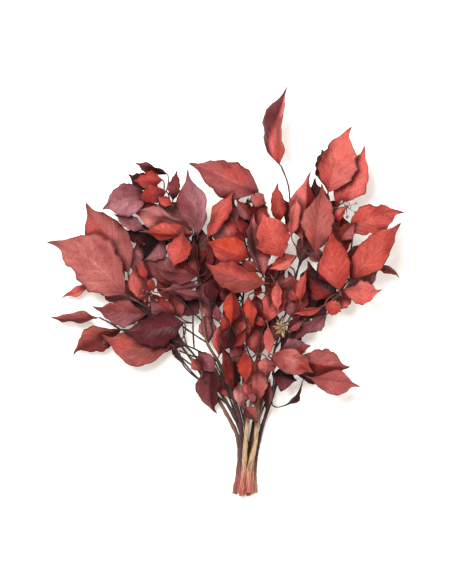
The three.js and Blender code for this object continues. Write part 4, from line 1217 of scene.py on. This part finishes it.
def stem_wood(name, leaves, blanks, shift):
    """A stem's cane, twigs, leaf stalks and flower stalks as one piece."""
    stem = STEMS[name]

    def painted(points):
        return cane_tones(name, points)

    rods = [(CANE, slimmed(to_millimetres(stem["cane"])), painted, len(name))]
    twig_tone = linear(BARKS[STEM_BARKS[name][3]])
    rods += [(TWIG, slimmed(to_millimetres(twig)), twig_tone, i) for i, twig in enumerate(stem["twigs"])]
    for i, leaf in enumerate(leaves):
        tone = linear(TONES[leaf["tones"][0]][0]) * STALK_DYE + linear(BARKS["rosy"]) * STALK_BARK
        rods.append((STALK, leaf_stalk(leaf), tone, i))
    for umbel in UMBELS:
        if umbel["stem"] == name:
            tone = linear(BARKS[umbel["bark"]])
            rods += [(STALK, run, tone, i) for i, run in enumerate(umbel_runs(umbel, wood_net(stem)))]
    return joined([rod_piece(blanks, *rod, shift) for rod in rods], f"{name}_wood")


def stem_blades(name, leaves, blanks, shift, first):
    """A stem's blades as one piece."""
    blades = [blade_piece(blanks, leaf, first + i, shift) for i, leaf in enumerate(leaves)]
    return joined(blades, f"{name}_leaves")


# Painted shade where pieces are covered


def cells_of(points):
    """The cell of the table that each point stands over."""
    cells = np.round(points[:, :2] / CELL).astype(int) + CELL_COUNT // 2
    return np.clip(cells, SHELTER_REACH, CELL_COUNT - 1 - SHELTER_REACH)


def canopy(pieces):
    """The height of the highest piece in each cell and its neighbours."""
    top = np.zeros((CELL_COUNT, CELL_COUNT))
    for piece in pieces:
        points = corners(piece) / MM
        cells = cells_of(points)
        for i in (-1, 0, 1):
            for j in (-1, 0, 1):
                np.maximum.at(top, (cells[:, 0] + i, cells[:, 1] + j), points[:, 2])
    return top


def paint_shade_where_covered(piece, top):
    """Paints shade into the colours of a piece where others stand over it, and weighs the painted deep
    shade of its look by the same cover.
    """
    points = corners(piece) / MM
    cells = cells_of(points)
    steps = range(-SHELTER_REACH, SHELTER_REACH + 1)
    covered = np.zeros(len(points))
    for i in steps:
        for j in steps:
            above = top[cells[:, 0] + i, cells[:, 1] + j] - points[:, 2] - SHELTER_GAP
            covered += np.clip(above / SHELTER_RISE, 0, 1) / len(steps) ** 2
    share = np.clip(covered / SHELTER_SHARE, 0, 1)[:, None] ** SHELTER_EDGE
    shade = np.hstack([np.array(PAINTED_COVER_SHADE) ** share, np.ones((len(points), 1))])
    for layer in piece.data.attributes:
        if layer.data_type == "FLOAT_COLOR":
            colours = values_of(layer.data, "color", 4) * shade
            layer.data.foreach_set("color", colours.ravel())
        if layer.name == "look":
            vectors = values_of(layer.data, "vector", 3) * np.hstack([np.ones((len(points), 2)), share])
            layer.data.foreach_set("vector", vectors.ravel())


# Materials


class Look:
    """A material's nodes, added and linked one at a time."""

    def __init__(self, name):
        self.material = bpy.data.materials.new(name)
        self.material.use_nodes = True
        self.nodes = self.material.node_tree.nodes
        self.links = self.material.node_tree.links
        self.shader = self.nodes["Principled BSDF"]

    def fill(self, inputs, values):
        """Gives each named or numbered input its number, its colour or its link."""
        for key, value in values.items():
            if isinstance(value, bpy.types.NodeSocket):
                self.links.new(value, inputs[key])
            elif isinstance(value, tuple):
                inputs[key].default_value = (*value, 1)
            else:
                inputs[key].default_value = value

    def add(self, kind, values, **settings):
        """Adds a node, and gives back its outputs."""
        made = self.nodes.new(kind)
        for key, value in settings.items():
            setattr(made, key, value)
        self.fill(made.inputs, values)
        return made.outputs

    def attribute(self, name, output):
        return self.add("ShaderNodeAttribute", {}, attribute_name=name)[output]

    def split(self, vector):
        return self.add("ShaderNodeSeparateXYZ", {0: vector})

    def noise(self, vector, scale, detail, rough):
        values = {"Vector": vector, "Scale": scale, "Detail": detail, "Roughness": rough}
        return self.add("ShaderNodeTexNoise", values)["Fac"]

    def ranged(self, value, low, high, to_low=0, to_high=1):
        values = {"Value": value, "From Min": low, "From Max": high, "To Min": to_low, "To Max": to_high}
        return self.add("ShaderNodeMapRange", values)["Result"]

    def math(self, operation, a, b):
        return self.add("ShaderNodeMath", {0: a, 1: b}, operation=operation)["Value"]

    def times(self, a, b):
        return self.math("MULTIPLY", a, b)

    def mixed(self, share, a, b, blend="MIX"):
        values = {"Factor": share, 6: a, 7: b}
        return self.add("ShaderNodeMix", values, data_type="RGBA", blend_type=blend)[2]

    def tinted(self, colour, tints):
        """A colour multiplied by each tint, as far as the share before the tint says."""
        for share, tint in tints:
            colour = self.mixed(share, colour, tint, "MULTIPLY")
        return colour

    def bump(self, height, strength, distance):
        values = {"Height": height, "Strength": strength, "Distance": distance}
        return self.add("ShaderNodeBump", values)["Normal"]

    def finished(self, values):
        self.fill(self.shader.inputs, values)
        return self.material


def leaf_material(name, roughness, shine, bloom):
    """A dyed, preserved leaf: patches of two tones, dull shades, fine veins and dark rims, with painted
    shade at the base and in dark patches where the leaf is covered.
    """
    look = Look(name)
    own = look.attribute("look", "Vector")
    number = look.split(own)
    place = look.add("ShaderNodeTexCoord", {})["Object"]
    shifted = look.add("ShaderNodeVectorMath", {0: place, 1: own}, operation="ADD")["Vector"]
    patches = look.noise(shifted, *PATCHES)
    shades = look.noise(shifted, *SHADES)
    mottle = look.noise(shifted, *MOTTLE)

    # Patterns along and across the blade
    flat = look.split(look.add("ShaderNodeUVMap", {}, uv_map="UVMap")["UV"])
    along, across = flat["X"], flat["Y"]
    centred = look.math("ABSOLUTE", look.math("SUBTRACT", across, 0.5), 0)
    slanted = look.math("SUBTRACT", along, look.times(centred, VEIN_SLANT))
    streaked = zip((slanted, across, number["X"]), STREAK_PACES)
    stretched = {axis: look.times(value, pace) for axis, (value, pace) in enumerate(streaked)}
    streaks = look.noise(look.add("ShaderNodeCombineXYZ", stretched)["Vector"], *LEAF_STREAKS)
    wander = look.times(look.math("SUBTRACT", patches, 0.5), RIM_WANDER)
    rim = look.ranged(look.math("ADD", centred, wander), 0.45, 0.5)
    rim = look.math("MAXIMUM", rim, look.ranged(along, 0.88, 1))
    rib = look.times(look.ranged(centred, 0.005, 0.02, 1, 0), look.ranged(along, 0.05, 0.7, 1, 0.2))
    wave = look.math("ADD", look.times(slanted, VEIN_COUNT), look.times(patches, VEIN_WANDER))
    vein = look.ranged(look.math("PINGPONG", wave, 0.5), 0.44, 0.5)
    vein = look.times(vein, look.ranged(centred, 0.34, 0.46, 1, 0))

    flushed = look.ranged(patches, 0.44, 0.64, 0, 0.75)
    colour = look.mixed(flushed, look.attribute("tone", "Color"), look.attribute("flush", "Color"))
    # Each share is where a pattern lies between its first two values, brought to the last two
    tints = [
        (look.ranged(shades, 0.5, 0.7, 0, 0.6), DULLED),
        # Painted shade: near-black patches, weighed by how deep the leaf lies and how far it is covered
        (look.times(look.ranged(shades, 0.52, 0.58), number["Z"]), PAINTED_DEEP_SHADE),
        (look.ranged(streaks, 0.54, 0.74, 0, 0.6), DULLED),
        (look.ranged(streaks, 0.46, 0.28, 0, 0.8), bloom),
        (look.ranged(mottle, 0.45, 0.7, 0, 0.5), DULLED),
        # Painted shade: darker towards the base, where blades run in under others
        (look.ranged(along, 0.3, 0, 0, 0.8), DULLED),
        (rib, bloom),
        (look.times(vein, 0.25), DULLED),
        (rim, RIMMED),
    ]
    gloss = look.math("ADD", number["Y"], look.times(patches, 0.2))
    height = look.math("SUBTRACT", look.times(mottle, 0.5), look.math("MAXIMUM", rib, vein))
    height = look.math("ADD", height, look.times(streaks, 2))
    return look.finished({
        "Base Color": look.tinted(colour, tints),
        "Roughness": look.ranged(gloss, 0, 1.1, roughness, roughness + 0.25),
        "Specular IOR Level": shine,
        "Normal": look.bump(height, *LEAF_RELIEF),
    })


def bark_material():
    """Bark with streaks along the wood, pale scuffs, and dark blots and specks."""
    look = Look("bark")
    grain = look.attribute("grain", "Vector")
    streaks = look.noise(grain, *BARK_STREAKS)
    specks = look.noise(grain, *SPECKS)
    tints = [
        (look.ranged(look.noise(grain, *BLOTS), 0.5, 0.6, 0, 0.85), BLOTTED),
        (look.ranged(streaks, 0.5, 0.68), STREAKED),
        (look.ranged(streaks, 0.46, 0.3), SCUFFED),
        (look.ranged(specks, 0.56, 0.68), SPECKLED),
    ]
    return look.finished({
        "Base Color": look.tinted(look.attribute("tone", "Color"), tints),
        "Roughness": look.ranged(specks, 0.3, 0.7, 0.55, 0.8),
        "Normal": look.bump(look.math("ADD", streaks, specks), *BARK_RELIEF),
    })


def table_material():
    """A plain matt pale surface with a faint unevenness, and a faint painted glow that lifts the shadows
    on it.
    """
    look = Look("pale_table")
    uneven = look.noise(look.add("ShaderNodeTexCoord", {})["Object"], *UNEVENNESS)
    return look.finished({
        "Base Color": look.mixed(uneven, *TABLE_TONES),
        "Roughness": TABLE_ROUGHNESS,
        "Emission Color": TABLE_GLOW,
        "Emission Strength": TABLE_GLOW_STRENGTH,
    })


# Table, light and camera


def add_table():
    deselect()
    bpy.ops.mesh.primitive_plane_add(size=TABLE_SIZE, location=(0, 0, 0))
    table = bpy.context.object
    table.name = "table"
    table.data.materials.append(table_material())


def hung(name, data, place):
    """A light or a camera, hung at its place."""
    obj = bpy.data.objects.new(name, data)
    obj.location = place
    bpy.context.scene.collection.objects.link(obj)
    return obj


def add_light():
    world = bpy.data.worlds.new("room")
    bpy.context.scene.world = world
    world.use_nodes = True
    background = world.node_tree.nodes["Background"]
    background.inputs["Color"].default_value = ROOM_TONE
    background.inputs["Strength"].default_value = ROOM_LIGHT
    light = bpy.data.lights.new("window", "AREA")
    light.shape = "SQUARE"
    light.size = WINDOW_SIZE
    light.energy = WINDOW_POWER
    window = hung("window", light, WINDOW_PLACE)
    window.rotation_euler = (-window.location).to_track_quat("-Z", "Y").to_euler()


def add_camera(shift):
    """A camera that looks straight down on the bunch."""
    camera = bpy.data.cameras.new("camera")
    camera.sensor_width = SENSOR
    camera.lens = SENSOR * CAMERA_DISTANCE / (VIEW_HEIGHT * UNIT * MM)
    camera.clip_end = FARTHEST_SEEN
    middle = [(VIEW_MIDDLE[axis] * UNIT + shift[axis]) * MM for axis in (0, 1)]
    bpy.context.scene.camera = hung("camera", camera, (*middle, CAMERA_DISTANCE + VIEW_LEVEL * MM))
    bpy.context.scene.view_settings.view_transform = "Standard"


# The bunch

shift = frame_shift()
leaves = all_leaves(node_trees(shift))
blanks = {form["name"]: blade_blank(form) for form in (FINE, PLAIN, COARSE)}
blanks.update({rod["name"]: rod_blank(rod) for rod in (CANE, TWIG, STALK)})
leaf_looks = {slot: leaf_material(slot, *look) for slot, look in LEAF_LOOKS.items()}
bark = bark_material()
slots = {entry["node"]: entry["material_slot"] for entry in frame["record"]["subparts"]}

pieces = []
first = 1
for name in STEMS:
    own = [leaf for leaf in leaves if leaf["stem"] == name]
    blades = stem_blades(name, own, blanks, shift, first)
    blades.data.materials.append(leaf_looks[slots[name]])
    wood = stem_wood(name, own, blanks, shift)
    wood.data.materials.append(bark)
    first += len(own)
    pieces += [blades, wood]
    for piece in (blades, wood):
        take(piece)
        bpy.ops.object.shade_smooth_by_angle(angle=math.radians(SMOOTH_UP_TO))
        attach(piece, "root")
        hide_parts(name)

# Painted shade: colours darken where other pieces stand over them
top = canopy(pieces)
for piece in pieces:
    paint_shade_where_covered(piece, top)
for blank in blanks.values():
    bpy.data.objects.remove(blank)

add_table()
add_light()
add_camera(shift)
